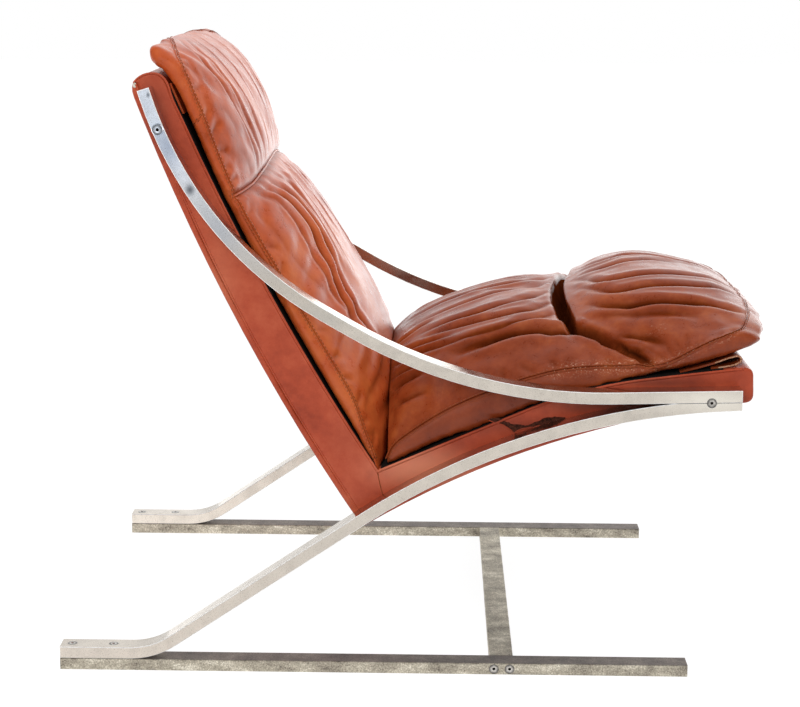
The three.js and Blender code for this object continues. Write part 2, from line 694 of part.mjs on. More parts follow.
// Plywood cheeks with the nuts that the shell's screws turn into, and the timber rails between them
function addFrame(outline) {
  const cheekY = (SHELL_WIDTH - CHEEK) / 2 - LEATHER - GAP;
  const innerY = cheekY - CHEEK / 2;
  for (const [name, side] of SIDES) {
    const nuts = [['back', armScrewPlace(side)], ['seat', seatScrewPlace(side)]].map(([end, place]) => [
      end,
      new THREE.Vector3(place.x, side * (innerY - GAP - NUT_FLANGE), place.z),
    ]);
    const bores = nuts.map(([, { x, z }]) => {
      const mouth = new THREE.Vector3(x, outerY(side), z);
      return plainHole(NUT_BARREL_RADIUS + GAP, CHAIR_WIDTH / 2, mouth, outward(side));
    });
    add(`cheek_${name}`, PLYWOOD, cut(across(outline, CHEEK, side * cheekY), ...bores));
    nuts.forEach(([end, place]) => add(`${end}_nut_${name}`, SCREW_STEEL, sleeveNut(place, side)));
  }
  const inner = 2 * (innerY - GAP);
  const timber = across(outline, inner);
  const topDown = along(BACK_TOP_TILT, 1);
  const up = leftOf(topDown);
  const topRegion = across([
    rearTop.clone().addScaledVector(up, -RAIL_DEPTH).addScaledVector(topDown, -RAIL_DEPTH),
    rearTop.clone().addScaledVector(up, -RAIL_DEPTH).addScaledVector(topDown, 2 * RAIL_DEPTH),
    rearTop.clone().addScaledVector(up, RAIL_DEPTH).addScaledVector(topDown, 2 * RAIL_DEPTH),
    rearTop.clone().addScaledVector(up, RAIL_DEPTH).addScaledVector(topDown, -RAIL_DEPTH),
  ], inner);
  add('top_rail', PLYWOOD, common(timber, topRegion));
  const heelRegion = across([
    point(heel.x - RAIL_DEPTH, heel.y - RAIL_DEPTH),
    point(heel.x + RAIL_DEPTH / 2, heel.y - RAIL_DEPTH),
    point(heel.x + RAIL_DEPTH / 2, heel.y + RAIL_DEPTH),
    point(heel.x - RAIL_DEPTH, heel.y + RAIL_DEPTH),
  ], inner);
  add('heel_rail', PLYWOOD, common(timber, heelRegion));
  const noseRegion = across([
    point(NOSE_X - NOSE_RAIL_DEPTH, SEAM_HEIGHT - RAIL_DEPTH),
    point(NOSE_X, SEAM_HEIGHT - RAIL_DEPTH),
    point(NOSE_X, SEAM_HEIGHT + RAIL_DEPTH),
    point(NOSE_X - NOSE_RAIL_DEPTH, SEAM_HEIGHT + RAIL_DEPTH),
  ], inner);
  add('nose_rail', PLYWOOD, common(timber, noseRegion));
}

// Flanged nut, set into the cheek from inside
function sleeveNut(place, side) {
  const bore = SCREW_RADIUS + GAP;
  const profile = [
    point(bore, 0),
    point(NUT_FLANGE_RADIUS, 0),
    point(NUT_FLANGE_RADIUS, NUT_FLANGE),
    point(NUT_BARREL_RADIUS, NUT_FLANGE),
    point(NUT_BARREL_RADIUS, NUT_FLANGE + NUT_BARREL_LENGTH),
    point(bore, NUT_FLANGE + NUT_BARREL_LENGTH),
    point(bore, 0),
  ];
  return turned(profile, place, outward(side));
}

// Webbing across the frame and a thin pad on it, under the leather of the back and of the seat
function addLayers() {
  const width = SHELL_WIDTH - 2 * (LEATHER + GAP);
  const layers = [['back', backPath, 1, TOP_ROUND], ['seat', seatPath, -1, NOSE_ROUND]];
  for (const [name, path, inward, round] of layers) {
    const length = pathLength(path);
    const padTop = LEATHER + GAP;
    const strapTop = padTop + PAD + GAP;
    const padPath = stretch(path, PAD, length - PAD_MARGIN - round);
    const pad = strip(padPath, inward * padTop, inward * (padTop + PAD));
    add(`${name}_pad`, FELT, across(inward > 0 ? pad : pad.reverse(), width));
    const first = STRAP_WIDTH;
    const pitch = (length - PAD_MARGIN - round - first - STRAP_WIDTH) / (STRAP_COUNT - 1);
    for (let k = 0; k < STRAP_COUNT; k += 1) {
      const start = first + k * pitch - STRAP_WIDTH / 2;
      const run = stretch(path, start, start + STRAP_WIDTH);
      const band = strip(run, inward * strapTop, inward * (strapTop + STRAP));
      add(`${name}_strap_${k + 1}`, WEBBING, across(inward > 0 ? band : band.reverse(), width));
    }
  }
}

// Cushions: sections that swell from the seam at each side to the crown in the middle
function cushion(path, toTheRight, shares, length, crown, dips) {
  const side = toTheRight ? -1 : 1;
  const halfWidth = SHELL_WIDTH / 2 - CUSHION_MARGIN;
  const curves = [0, 2].map((column) => new THREE.CatmullRomCurve3(shares.map(
    (row) => new THREE.Vector3(row[column] * length, row[column + 1] * crown, 0),
  ), true, 'catmullrom'));
  const count = shares.length * LOOP_STEPS;
  const rows = [];
  for (let k = -LOFT_STEPS; k <= LOFT_STEPS; k += 1) {
    const share = Math.sin(k / LOFT_STEPS * Math.PI / 2);
    const swell = (1 - Math.abs(share) ** CROWN_POWER) ** CROWN_FULLNESS;
    const row = [];
    for (let i = 0; i < count; i += 1) {
      const place = curves[0].getPoint(i / count).lerp(curves[1].getPoint(i / count), swell);
      const dip = dips.reduce((sum, [at, depth]) => sum + depth * swell * dipShare(i / LOOP_STEPS - at), 0);
      const floor = place.x < pathLength(path) ? CUSHION_SEAT_GAP : -crown;
      const height = Math.max(place.y - dip, floor);
      const at = locate(path, place.x, side * height);
      const pull = CUSHION_DRAW_IN * Math.sin(Math.PI * THREE.MathUtils.clamp(place.x / length, 0, 1));
      row.push(new THREE.Vector3(at.x, share * (halfWidth - pull), at.y));
    }
    rows.push(row);
  }
  return loft(rows);
}

// Share of a groove's depth at a distance from its bottom, in steps between rows of the section's table
function dipShare(steps) {
  const share = Math.max(0, 1 - Math.abs(steps) * 1.9);
  return share * share * (3 - 2 * share);
}

// Closed mesh through rows of points, with a flat end on the first and the last
function loft(rows) {
  const count = rows[0].length;
  const positions = rows.flat().flatMap((p) => [p.x, p.y, p.z]);
  const index = [];
  for (let j = 0; j < rows.length - 1; j += 1) {
    for (let i = 0; i < count; i += 1) {
      const next = (i + 1) % count;
      const [a, b, c, d] = [j * count + i, j * count + next, (j + 1) * count + next, (j + 1) * count + i];
      index.push(a, d, c, a, c, b);
    }
  }
  const ends = [[0, false], [rows.length - 1, true]];
  for (const [j, isLast] of ends) {
    const flat = rows[j].map((p) => point(p.x, p.z));
    for (const [a, b, c] of THREE.ShapeUtils.triangulateShape(flat, [])) {
      const triangle = isLast ? [a, c, b] : [a, b, c];
      index.push(...triangle.map((i) => j * count + i));
    }
  }
  const geometry = new THREE.BufferGeometry();
  geometry.setAttribute('position', new THREE.Float32BufferAttribute(positions, 3));
  geometry.setIndex(index);
  return geometry;
}

// Everything in front of an upright plane, or behind it
function uprightRegion(x, inFront) {
  const reach = RAIL_LENGTH * 2;
  const [low, high] = inFront ? [x, x + reach] : [x - reach, x];
  const outline = [point(low, -reach), point(high, -reach), point(high, reach), point(low, reach)];
  return across(outline, CHAIR_WIDTH);
}

function addCushions() {
  const contact = CREASE_X + CONTACT_SETBACK;
  const groove = [[SEAT_GROOVE_AT, SEAT_GROOVE_DEPTH]];
  const seat = cushion(seatPath, false, SEAT_SECTION_SHARES, SEAT_CUSHION_LENGTH, SEAT_CUSHION_CROWN, groove);
  add('seat_cushion', CUSHION_LEATHER, common(seat, uprightRegion(contact + GAP, true)));
  const fold = [[BACK_CREASE_AT, BACK_CREASE_DEPTH]];
  const back = cushion(backPath, true, BACK_SECTION_SHARES, BACK_CUSHION_LENGTH, BACK_CUSHION_CROWN, fold);
  const seatShell = across(strip(extend(seatPath, OVERRUN), -RAIL_DEPTH, CUSHION_SEAT_GAP), CHAIR_WIDTH);
  add('back_cushion', CUSHION_LEATHER, cut(common(back, uprightRegion(contact, false)), seatShell));
}

// Flaps: one folds under the front of the seat cushion, and one hangs behind the top of the back cushion
function addFlaps() {
  const flapStart = pathLength(seatPath) - SEAT_FLAP_SETBACK;
  const places = SEAT_FLAP_SHARES.map(([s, v]) => {
    const at = locate(seatPath, flapStart + s * SEAT_FLAP_LENGTH, v * SEAT_FLAP_HEIGHT);
    return new THREE.Vector3(at.x, at.y, 0);
  });
  const curve = new THREE.CatmullRomCurve3(places, false, 'centripetal');
  const fold = curve.getPoints(28).map((p) => point(p.x, p.y));
  const half = FLAP_THICKNESS / 2;
  const width = SHELL_WIDTH - 2 * FLAP_MARGIN;
  add('seat_flap', CUSHION_LEATHER, across(strip(fold, -half, half), width));
  const hanging = stretch(backPath, BACK_FLAP_START, BACK_FLAP_START + BACK_FLAP_LENGTH);
  const tab = strip(hanging, -BACK_FLAP_CLEARANCE - half, -BACK_FLAP_CLEARANCE + half);
  add('back_flap', CUSHION_LEATHER, across(tab, width));
}

addBase();
addBars();
addShell();
addCushions();
addFlaps();

const placed = new THREE.Group();
chair.position.x = -CROSSBAR_SETBACK;
placed.add(chair);
placed.updateMatrixWorld(true);

export default placed;
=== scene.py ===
"""Cantilever lounge chair: cognac leather cushions in a leather shell, on chromed flat steel bars.

Lengths are in metres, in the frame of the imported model. X is the way the sitter faces, Y is the sitter's
left and Z is up. The right side, at negative Y, is the side that the camera sees.
"""

import math
from functools import partial

import bmesh
import bpy
import numpy as np
from mathutils import Matrix, Vector
from mathutils.bvhtree import BVHTree
from mathutils.kdtree import KDTree


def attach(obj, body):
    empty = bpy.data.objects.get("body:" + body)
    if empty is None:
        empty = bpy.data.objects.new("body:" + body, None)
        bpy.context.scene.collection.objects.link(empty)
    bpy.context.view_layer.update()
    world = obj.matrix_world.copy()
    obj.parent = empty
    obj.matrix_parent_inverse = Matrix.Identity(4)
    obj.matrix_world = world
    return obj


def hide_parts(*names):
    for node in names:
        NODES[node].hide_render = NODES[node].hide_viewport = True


bl_info = {
    "name": "Cantilever Lounge Chair",
    "version": (1, 0, 0),
    "blender": (4, 5, 0),
    "location": "View3D > Sidebar > Lounge Chair",
    "description": "Dresses the frame of a leather lounge chair on bent flat steel bars",
    "category": "Object",
}

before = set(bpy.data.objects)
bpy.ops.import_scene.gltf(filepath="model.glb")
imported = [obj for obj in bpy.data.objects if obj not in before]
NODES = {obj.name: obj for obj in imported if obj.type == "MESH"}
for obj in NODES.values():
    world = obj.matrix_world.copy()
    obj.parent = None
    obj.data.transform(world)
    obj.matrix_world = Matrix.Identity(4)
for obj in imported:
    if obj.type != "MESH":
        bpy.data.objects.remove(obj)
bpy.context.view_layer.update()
CHAIR, SEAT, BACK = "chair", "seat_cushion", "back_cushion"
SIDES = {"right": -1, "left": 1}

CAMERA_PLACE = (-0.092986, -2.603230, 0.894734)
CAMERA_TURN = (0.20551, -0.01698, 0.00604)  # pitch, yaw and roll, in radians

# Side view (X, Z) of the shell's seat and back, along which the cushions lie
CREASE = np.array([-0.1595, 0.258])
NOSE_TOP = np.array([0.308, 0.3965])
HEAD_TOP = np.array([-0.4259, 0.7604])
SEAT_HEADINGS = (23.5, 7.2)  # degrees, before and after the seat's bend
SEAT_BEND = 0.56  # its radius
BACK_BOW = 0.0135  # depth of the bow of the back
SHELL_HALF_WIDTH = 0.2797
# Half width of the black sheets of painted shade under the cushions
GAP_SHADE_HALF_WIDTH = 0.2762
CUSHION_HALF_WIDTH = 0.2785  # clear of the bars
CONTACT_X = -0.148  # where the two cushions meet
LIFT = 0.0007  # least height of a cushion over the shell
FLAP_HALF_WIDTH = 0.2641
RING_STEPS, HALF_ROWS = 8, 26  # points from one station to the next, and rows from the middle to a side
HELD, FREE = 0.006, 0.014  # distances from a held line at which the cover is fast, and moves freely

# Sections of the cushions. A row holds one control point: the side seam's share of the length and of the
# crown, then the same two shares in the middle. The rows go round from the rear of the underside.
SEAT_SECTION = (
    (0.03, 0.016, 0.02, 0.006), (0.37, 0.01, 0.37, 0.006), (0.69, 0.012, 0.69, 0.01),
    (0.8, 0.055, 0.8, 0.055), (0.905, 0.158, 0.905, 0.148), (0.952, 0.27, 1.008, 0.225),
    (0.903, 0.385, 0.958, 0.436), (0.802, 0.255, 0.872, 0.67), (0.77, 0.19, 0.733, 0.864),
    (0.715, 0.11, 0.604, 0.81), (0.64, 0.14, 0.5, 0.768), (0.45, 0.28, 0.36, 0.899),
    (0.23, 0.31, 0.19, 0.928), (0.075, 0.21, 0.065, 0.693), (0.033, 0.1, 0.018, 0.33),
)
BACK_SECTION = (
    (0.006, 0.012, 0.006, 0.012), (0.018, 0.07, 0.024, 0.281), (0.085, 0.15, 0.085, 0.637),
    (0.17, 0.25, 0.17, 0.8), (0.33, 0.245, 0.315, 0.87), (0.495, 0.215, 0.49, 0.802),
    (0.625, 0.18, 0.62, 0.661), (0.71, 0.215, 0.712, 0.657), (0.822, 0.273, 0.822, 0.702),
    (0.934, 0.265, 0.895, 0.567), (0.964, 0.177, 0.95, 0.31), (0.99, 0.045, 0.997, 0.02),
    (0.981, -0.07, 0.987, -0.08), (0.956, -0.09, 0.957, -0.085), (0.9, 0.042, 0.9, 0.045),
    (0.81, 0.044, 0.81, 0.044), (0.65, 0.01, 0.65, 0.01), (0.33, 0.01, 0.33, 0.01),
)

# Lines on the cushions are knots: a station round the section, and a share of the half width from -1 at the
# right side seam to 1 at the left one. A fold is its depth and width in millimetres, and then its knots.
HEAD_CREASE = (
    (6.2, -1.0), (6.2, -0.93), (6.22, -0.75), (6.3, -0.58), (6.4, -0.23), (6.45, 0.2), (6.3, 0.6),
    (6.22, 0.8), (6.2, 1.0),
)
HEAD_FOLDS = (
    (3.0, 4.0, 6.28, -0.74, 6.6, -0.6, 7.1, -0.64, 7.83, -0.67, 8.97, -0.74, 10.12, -0.63, 10.55, -0.5),
    (2.6, 3.6, 6.3, -0.64, 6.72, -0.5, 7.25, -0.53, 7.9, -0.59, 8.7, -0.62, 10.0, -0.5, 10.57, -0.3),
    (2.2, 3.4, 6.34, -0.52, 6.72, -0.36, 7.35, -0.4, 8.05, -0.46, 8.95, -0.44, 10.12, -0.24, 10.65, -0.07),
    (2.2, 3.4, 6.36, -0.36, 6.83, -0.2, 7.42, -0.21, 8.2, -0.24, 9.12, -0.18, 10.15, 0.02, 10.7, 0.16),
    (2.0, 3.4, 6.42, -0.12, 6.85, 0.0, 7.42, 0.05, 8.28, 0.06, 9.22, 0.2, 10.12, 0.38, 10.68, 0.43),
    (2.0, 3.6, 6.44, 0.08, 6.92, 0.2, 7.38, 0.26, 8.22, 0.3, 9.18, 0.48, 10.07, 0.7),
    (2.2, 3.6, 6.42, 0.32, 6.95, 0.42, 7.6, 0.5, 8.4, 0.54, 9.3, 0.66, 9.9, 0.8),
    (2.6, 4.0, 6.3, 0.58, 6.9, 0.62, 7.5, 0.68, 8.3, 0.72, 9.1, 0.8),
    (1.4, 9.0, 6.25, -0.84, 6.53, -0.76, 7.03, -0.81, 7.2, -0.93),
    (1.3, 9.0, 8.1, -0.97, 7.9, -0.84, 7.55, -0.79, 7.33, -0.83),
    (1.4, 8.0, 9.05, -0.97, 8.8, -0.9, 8.5, -0.86, 8.2, -0.86),
    (2.4, 6.0, 7.6, 0.97, 7.4, 0.86, 7.05, 0.8, 6.7, 0.82),
    (2.2, 6.0, 8.9, 0.97, 8.6, 0.88, 8.2, 0.84),
)
LOIN_FOLDS = (
    (3.0, 5.0, 6.12, -0.84, 5.78, -0.7, 5.2, -0.66, 4.65, -0.69, 4.3, -0.72, 3.95, -0.72, 3.4, -0.7),
    (4.8, 6.2, 6.15, -0.72, 5.65, -0.56, 4.97, -0.53, 4.53, -0.6, 4.1, -0.66, 3.83, -0.69, 3.3, -0.66),
    (4.8, 6.2, 6.17, -0.6, 5.62, -0.42, 4.95, -0.42, 4.45, -0.5, 4.0, -0.6, 3.5, -0.57, 3.0, -0.5),
    (2.4, 4.2, 6.22, -0.43, 5.72, -0.25, 5.17, -0.26, 4.7, -0.35, 4.3, -0.42),
    (2.4, 4.2, 6.28, -0.22, 5.75, -0.08, 5.17, -0.1, 4.72, -0.2, 4.2, -0.28),
    (2.2, 4.0, 6.35, 0.02, 5.8, 0.12, 5.2, 0.1, 4.6, 0.04),
    (2.4, 4.2, 6.35, 0.28, 5.8, 0.34, 5.2, 0.3, 4.4, 0.26, 3.6, 0.28),
    (3.6, 5.5, 6.26, 0.5, 5.7, 0.5, 5.0, 0.52, 4.3, 0.56, 3.6, 0.56),
    (3.6, 5.5, 6.2, 0.7, 5.6, 0.66, 4.9, 0.68, 4.2, 0.72),
    (1.2, 9.0, 6.08, -0.95, 5.55, -0.91, 5.05, -0.88, 4.78, -0.92),
    (1.2, 9.0, 5.12, -0.9, 4.7, -0.86, 4.4, -0.82, 4.12, -0.77),
    (1.6, 7.0, 6.15, -0.9, 5.97, -0.78, 5.67, -0.72, 5.38, -0.75),
    (3.0, 8.0, 2.6, -0.95, 2.8, -0.7, 3.1, -0.4),
    (2.6, 8.0, 1.9, -0.9, 2.1, -0.6, 2.3, -0.2),
    (2.8, 8.0, 2.4, 0.92, 2.7, 0.6, 3.0, 0.3),
)
SEAT_GROOVE = (
    (9.3, -1.0), (9.6, -0.96), (9.78, -0.9), (9.8, -0.83), (10.0, -0.76), (10.08, -0.7), (9.88, -0.49),
    (9.66, 0.02), (9.5, 0.25), (9.5, 0.55), (9.62, 0.78), (9.6, 0.92), (9.4, 1.0),
)
SEAT_FOLDS = (
    (4.0, 7.0, 12.22, -0.1, 11.57, -0.12, 10.9, -0.05, 10.2, 0.03, 9.8, 0.1),
    (5.5, 7.5, 12.15, -0.36, 11.6, -0.36, 11.07, -0.38, 10.45, -0.29, 9.85, -0.1),
    (5.0, 6.5, 12.05, -0.44, 11.47, -0.48, 10.85, -0.52, 10.43, -0.49, 9.9, -0.34),
    (5.5, 6.5, 11.9, -0.62, 11.55, -0.64, 10.95, -0.67, 10.55, -0.62, 9.98, -0.52),
    (
        11.0, 10.0, 11.75, -0.72, 11.35, -0.72, 11.05, -0.73, 10.8, -0.73, 10.38, -0.745, 10.07, -0.77,
        9.82, -0.79,
    ),
    (4.5, 5.5, 12.75, -0.36, 12.22, -0.47, 11.88, -0.53, 11.53, -0.57),
    (4.5, 5.5, 12.78, -0.48, 12.28, -0.56, 11.8, -0.62, 11.45, -0.67),
    (4.0, 5.5, 12.8, -0.6, 12.28, -0.67, 11.97, -0.7),
    (4.5, 6.0, 12.85, -0.69, 12.43, -0.74, 12.1, -0.77),
    (4.0, 6.0, 12.9, -0.8, 12.6, -0.85, 12.2, -0.88),
    (4.2, 6.5, 12.7, -0.2, 12.2, -0.24, 11.7, -0.22),
    (4.5, 7.0, 12.3, 0.16, 11.6, 0.14, 10.9, 0.18, 10.2, 0.22, 9.75, 0.24),
    (5.0, 7.0, 12.3, 0.36, 11.6, 0.38, 10.9, 0.4, 10.3, 0.4, 9.7, 0.4),
    (5.5, 7.0, 12.0, 0.58, 11.4, 0.6, 10.8, 0.58, 10.2, 0.56, 9.75, 0.58),
    (9.0, 9.5, 11.8, 0.76, 11.2, 0.77, 10.6, 0.75, 10.1, 0.77, 9.8, 0.8),
    (4.5, 5.5, 12.78, 0.28, 12.25, 0.4, 11.9, 0.48),
    (4.5, 5.5, 12.8, 0.52, 12.3, 0.6, 11.9, 0.66),
    (4.0, 6.0, 12.9, 0.74, 12.4, 0.8, 12.0, 0.84),
    (5.0, 7.0, 9.3, -0.06, 8.85, -0.36, 7.9, -0.36, 6.9, -0.19, 5.7, -0.12),
    (5.5, 7.0, 9.34, -0.3, 8.78, -0.53, 7.78, -0.52, 6.83, -0.39, 5.78, -0.3),
    (7.0, 8.0, 9.48, -0.54, 9.2, -0.61, 8.72, -0.68, 7.75, -0.7, 6.88, -0.67, 5.85, -0.72),
    (4.5, 6.5, 9.5, -0.68, 9.22, -0.71, 8.7, -0.75, 8.03, -0.79, 7.05, -0.8),
    (6.0, 8.0, 9.6, -0.84, 9.18, -0.86, 8.78, -0.89, 8.4, -0.95),
    (8.0, 7.0, 9.7, -0.84, 9.72, -0.91, 9.52, -0.96, 9.25, -1.0),
    (5.0, 6.0, 9.62, -0.93, 9.12, -0.935, 8.85, -0.955),
    (4.0, 8.0, 9.25, -0.04, 8.68, -0.06, 7.97, -0.01, 7.28, 0.08),
    (4.5, 7.0, 9.2, 0.22, 8.7, 0.16, 7.8, 0.18, 6.9, 0.22, 5.8, 0.2),
    (5.5, 7.5, 9.3, 0.44, 8.7, 0.46, 7.8, 0.5, 6.9, 0.48, 5.9, 0.46),
    (6.5, 8.0, 9.38, 0.66, 8.8, 0.7, 7.8, 0.72, 6.9, 0.7, 6.0, 0.74),
    (6.0, 8.0, 9.5, 0.84, 9.1, 0.87, 8.6, 0.91),
    (7.0, 7.0, 9.6, 0.86, 9.6, 0.93, 9.35, 1.0),
    (3.6, 6.0, 5.3, -0.6, 5.0, -0.5, 4.7, -0.48),
    (3.6, 6.0, 5.3, 0.1, 5.0, 0.16, 4.7, 0.14),
)
SEAT_SEAM_REAR = (
    (14.2, 1.0), (13.6, 1.0), (12.0, 1.0), (10.5, 1.0), (9.75, 1.0), (9.35, 1.0),
)
BACK_SEAM_HALF = (
    (1.1, -1.0), (2.0, -1.0), (4.0, -1.0), (6.0, -1.0), (8.3, -1.0), (9.1, -0.99), (10.0, -0.9),
    (10.4, -0.76), (10.75, -0.58), (11.0, -0.43), (11.6, -0.25),
)
SEAT_SEAM_HALF = (
    (9.35, -1.0), (8.6, -1.0), (7.0, -1.0), (6.2, -0.995), (5.98, -0.95), (5.92, -0.8), (5.9, -0.4),
)

# Shell details on the right side: (X, Z) places
REAR_EDGE = (
    (-0.176, 0.1935), (-0.1982, 0.2294), (-0.2242, 0.2703), (-0.2494, 0.3117), (-0.2738, 0.3535),
    (-0.2974, 0.3957), (-0.3203, 0.4384), (-0.3423, 0.4816), (-0.3636, 0.5251), (-0.384, 0.569),
    (-0.4036, 0.6132), (-0.4224, 0.6579), (-0.4404, 0.7028), (-0.4551, 0.74),
)
SHELL_TOP = (
    (-0.4105, 0.7215), (-0.4131, 0.7288), (-0.4157, 0.7408), (-0.4202, 0.7491), (-0.4275, 0.7545),
    (-0.4424, 0.7544), (-0.4537, 0.7488), (-0.4575, 0.7433),
)
MITRE = (
    (-0.1608, 0.255), (-0.1575, 0.24), (-0.1541, 0.2258), (-0.15, 0.212),
)
FLAP_EDGE = (
    (0.2626, 0.399), (0.268, 0.401), (0.2732, 0.4032), (0.2783, 0.405), (0.2823, 0.4062), (0.2857, 0.4071),
    (0.2888, 0.4077), (0.2914, 0.4075), (0.2932, 0.4063), (0.2944, 0.4048), (0.2947, 0.4033),
    (0.2935, 0.4008), (0.2903, 0.3985), (0.2865, 0.3965), (0.2816, 0.3953), (0.2766, 0.3944),
    (0.2718, 0.3935), (0.2669, 0.3928),
)
TEAR = (
    (-0.0213, 0.3274), (-0.0104, 0.3301), (-0.001, 0.325), (0.0115, 0.3206), (0.0303, 0.3199),
    (0.0457, 0.3281), (0.0612, 0.3321), (0.0752, 0.3309), (0.0707, 0.3251), (0.0551, 0.3224),
    (0.0365, 0.3177), (0.0179, 0.3149), (0.0117, 0.31), (0.0054, 0.3154), (-0.0041, 0.3211),
    (-0.015, 0.3226),
)
NICK = (
    (-0.459, 0.7378), (-0.4562, 0.7368), (-0.454, 0.7392), (-0.4549, 0.7424), (-0.4572, 0.7432),
    (-0.4586, 0.7412),
)

# Patches laid over a colour, mostly of painted light: X, Z, half width, half height, share and colour
# Painted reflections on the chrome bars: dark and bluish patches where they mirror their surroundings, a
# small painted glint, and a broad pale painted highlight at the front
CHROME_PAINTED_REFLECTIONS = (
    (-0.3874, 0.6164, 0.009, 0.011, 0.8, 0x39404C), (-0.394, 0.629, 0.01, 0.008, 0.45, 0xF2F6FF),
    (-0.413, 0.672, 0.03, 0.046, 0.55, 0x93A2BC), (-0.355, 0.565, 0.045, 0.05, 0.4, 0xA5AFBE),
    (-0.24, 0.456, 0.06, 0.03, 0.3, 0xA9ABA8), (-0.436, 0.7303, 0.0035, 0.005, 0.8, 0x5A616C),
    (0.26, 0.36, 0.12, 0.03, 0.8, 0xF4EEE2),
)
# Shell: pale painted highlights low under the seat and along the rear edge, dark painted shade under the arm
# near the front, and darker strips along the tear, above the crease and round the arm's top end
SHELL_PAINTED_LIGHT_AND_TONE = (
    (-0.1, 0.262, 0.11, 0.042, 0.8, 0xE08A6A), (0.165, 0.352, 0.11, 0.022, 0.8, 0x5A2418),
    (0.02, 0.318, 0.12, 0.018, 0.35, 0x6A2A1A), (0.2, 0.376, 0.08, 0.011, 0.6, 0x5A2418),
    (-0.355, 0.47, 0.035, 0.15, 0.35, 0xD07A58), (-0.2, 0.3, 0.05, 0.04, 0.2, 0x7E2E18),
    (-0.43, 0.7, 0.03, 0.09, 0.45, 0x7E3424),
)

# Plain stuffs: key, name, size of the pattern in millimetres, dark and light tone, roughness and relief
PLAIN_FINISHES = (
    # Waxed linen: dull brown grains of thread along each seam
    ("thread", "waxed_linen_thread", 1.1111, 0x6E3016, 0x9C5832, 0.6, 0.0002),
    # Black cotton cloth of the underside, also laid in sheets as painted shade in the gap under both cushions
    ("black", "black_upholstery_cloth", 1.4286, 0x0C0B0B, 0x2A2725, 0.95, 0.0004),
    # Torn flesh side of the hide in the tear: hairy brown, made nearly black as painted shade of the hole
    # behind it
    ("torn", "torn_leather_flesh", 2.381, 0x1A0F0C, 0x5A3024, 0.95, 0.001),
    # Cut edge of the hide, undyed: a pale line round the rolled flap
    ("raw", "raw_leather_edge", 2.0, 0x8A4E2C, 0xE0B594, 0.8, 0.0004),
    # Pressed wool: the off-white pads and the fleece that shows in the nick
    ("felt", "wool_felt", 3.3333, 0xBDB5A2, 0xDDD8CC, 0.95, 0.0008),
    # Woven jute: coarse dun straps
    ("webbing", "jute_webbing", 2.0, 0x51432D, 0x7D6A4C, 0.9, 0.0006),
)

# Across a lapped seam, in millimetres: how far to the side, how far off the cover, and the share of painted
# shade, darkest in the groove
SEAM_PROFILE = (
    (-3.6, -0.4, 0),
    (-2.6, 0.3, 0),
    (-1.4, 0.7, 0),
    (-0.6, 0.5, 0.4),
    (0.0, -0.9, 1),
    (0.6, 1.1, 0.5),
    (1.6, 1.1, 0),
    (2.8, 0.5, 0),
    (3.6, -0.4, 0),
    (3.0, -2.0, 0),
    (-3.0, -2.0, 0),
)

# Cover of a cushion as cloth: supple, but hard to stretch
CLOTH = {
    "quality": 5,
    "mass": 0.35,
    "tension_stiffness": 12,
    "compression_stiffness": 6,
    "shear_stiffness": 4,
    "bending_stiffness": 0.35,
    "vertex_group_mass": "held",
    "use_pressure": True,
}


def mirrored(half, middle):
    """Knots of a line from its right end through its middle to its left end."""
    return (*half, middle, *((station, -share) for station, share in reversed(half)))


BACK_SEAM = mirrored(BACK_SEAM_HALF, (11.7, 0.0))
SEAT_SEAM_FRONT = mirrored(SEAT_SEAM_HALF, (5.92, 0.0))


# Materials
def linear(code):
    """Linear colour of an sRGB hex code."""
    parts = [((code >> shift) & 255) / 255 for shift in (16, 8, 0)]
    return tuple(c / 12.92 if c <= 0.04045 else ((c + 0.055) / 1.055) ** 2.4 for c in parts) + (1.0,)


def grey(value):
    return (value, value, value, 1)


BLACK, WHITE = grey(0), grey(1)

# Inputs that a row of values goes to. A row for another kind of node goes to its first inputs.
INPUT_ROWS = {
    "Bump": ("Height", "Strength", "Distance"),
    "MapRange": ("Value", "From Min", "From Max", "To Min", "To Max"),
    "Mapping": ("Vector", "Scale"),
    "Mix": ("Factor", "A", "B"),
    "TexNoise": ("Vector", "Scale", "Detail", "Roughness"),
    "TexVoronoi": ("Vector", "Scale"),
}


def cells(size):
    """Scale of a pattern whose cells have a size in millimetres."""
    return 1000 / size


def add_node(tree, kind, inputs=(), stops=(), **settings):
    """Adds a node with its settings, inputs and colour stops. A node as an input stands for its result."""
    made = tree.nodes.new(kind if "Node" in kind else f"ShaderNode{kind}")
    for key, value in settings.items():
        setattr(made, key, value)
    if not isinstance(inputs, dict):
        inputs = dict(zip(INPUT_ROWS.get(kind, range(len(inputs))), inputs))
    for key, value in inputs.items():
        named = [socket for socket in made.inputs if socket.enabled and socket.name == key]
        socket = named[0] if named else made.inputs[key]
        if isinstance(value, bpy.types.Node):
            value = next(result for result in value.outputs if result.enabled)
        if isinstance(value, bpy.types.NodeSocket):
            tree.links.new(value, socket)
        else:
            socket.default_value = value
    for k, (place, colour) in enumerate(stops):
        stop = made.color_ramp.elements[k] if k < 2 else made.color_ramp.elements.new(place)
        stop.position, stop.color = place, colour
    return made


def start_material(name):
    """Empty material, what adds its nodes, and the place on the piece."""
    material = bpy.data.materials.new(name)
    material.use_nodes = True
    material.node_tree.nodes.clear()
    add = partial(add_node, material.node_tree)
    return material, add, add("TexCoord").outputs["Object"]


def end_material(material, add, surface):
    """Closes a material with the inputs of its surface shader."""
    add("OutputMaterial", (add("BsdfPrincipled", surface),))
    return material


def layered(add, tone, *layers):
    """Lays colours over a tone, each by its share."""
    for share, colour in layers:
        tone = add("Mix", (share, tone, colour), data_type="RGBA")
    return tone


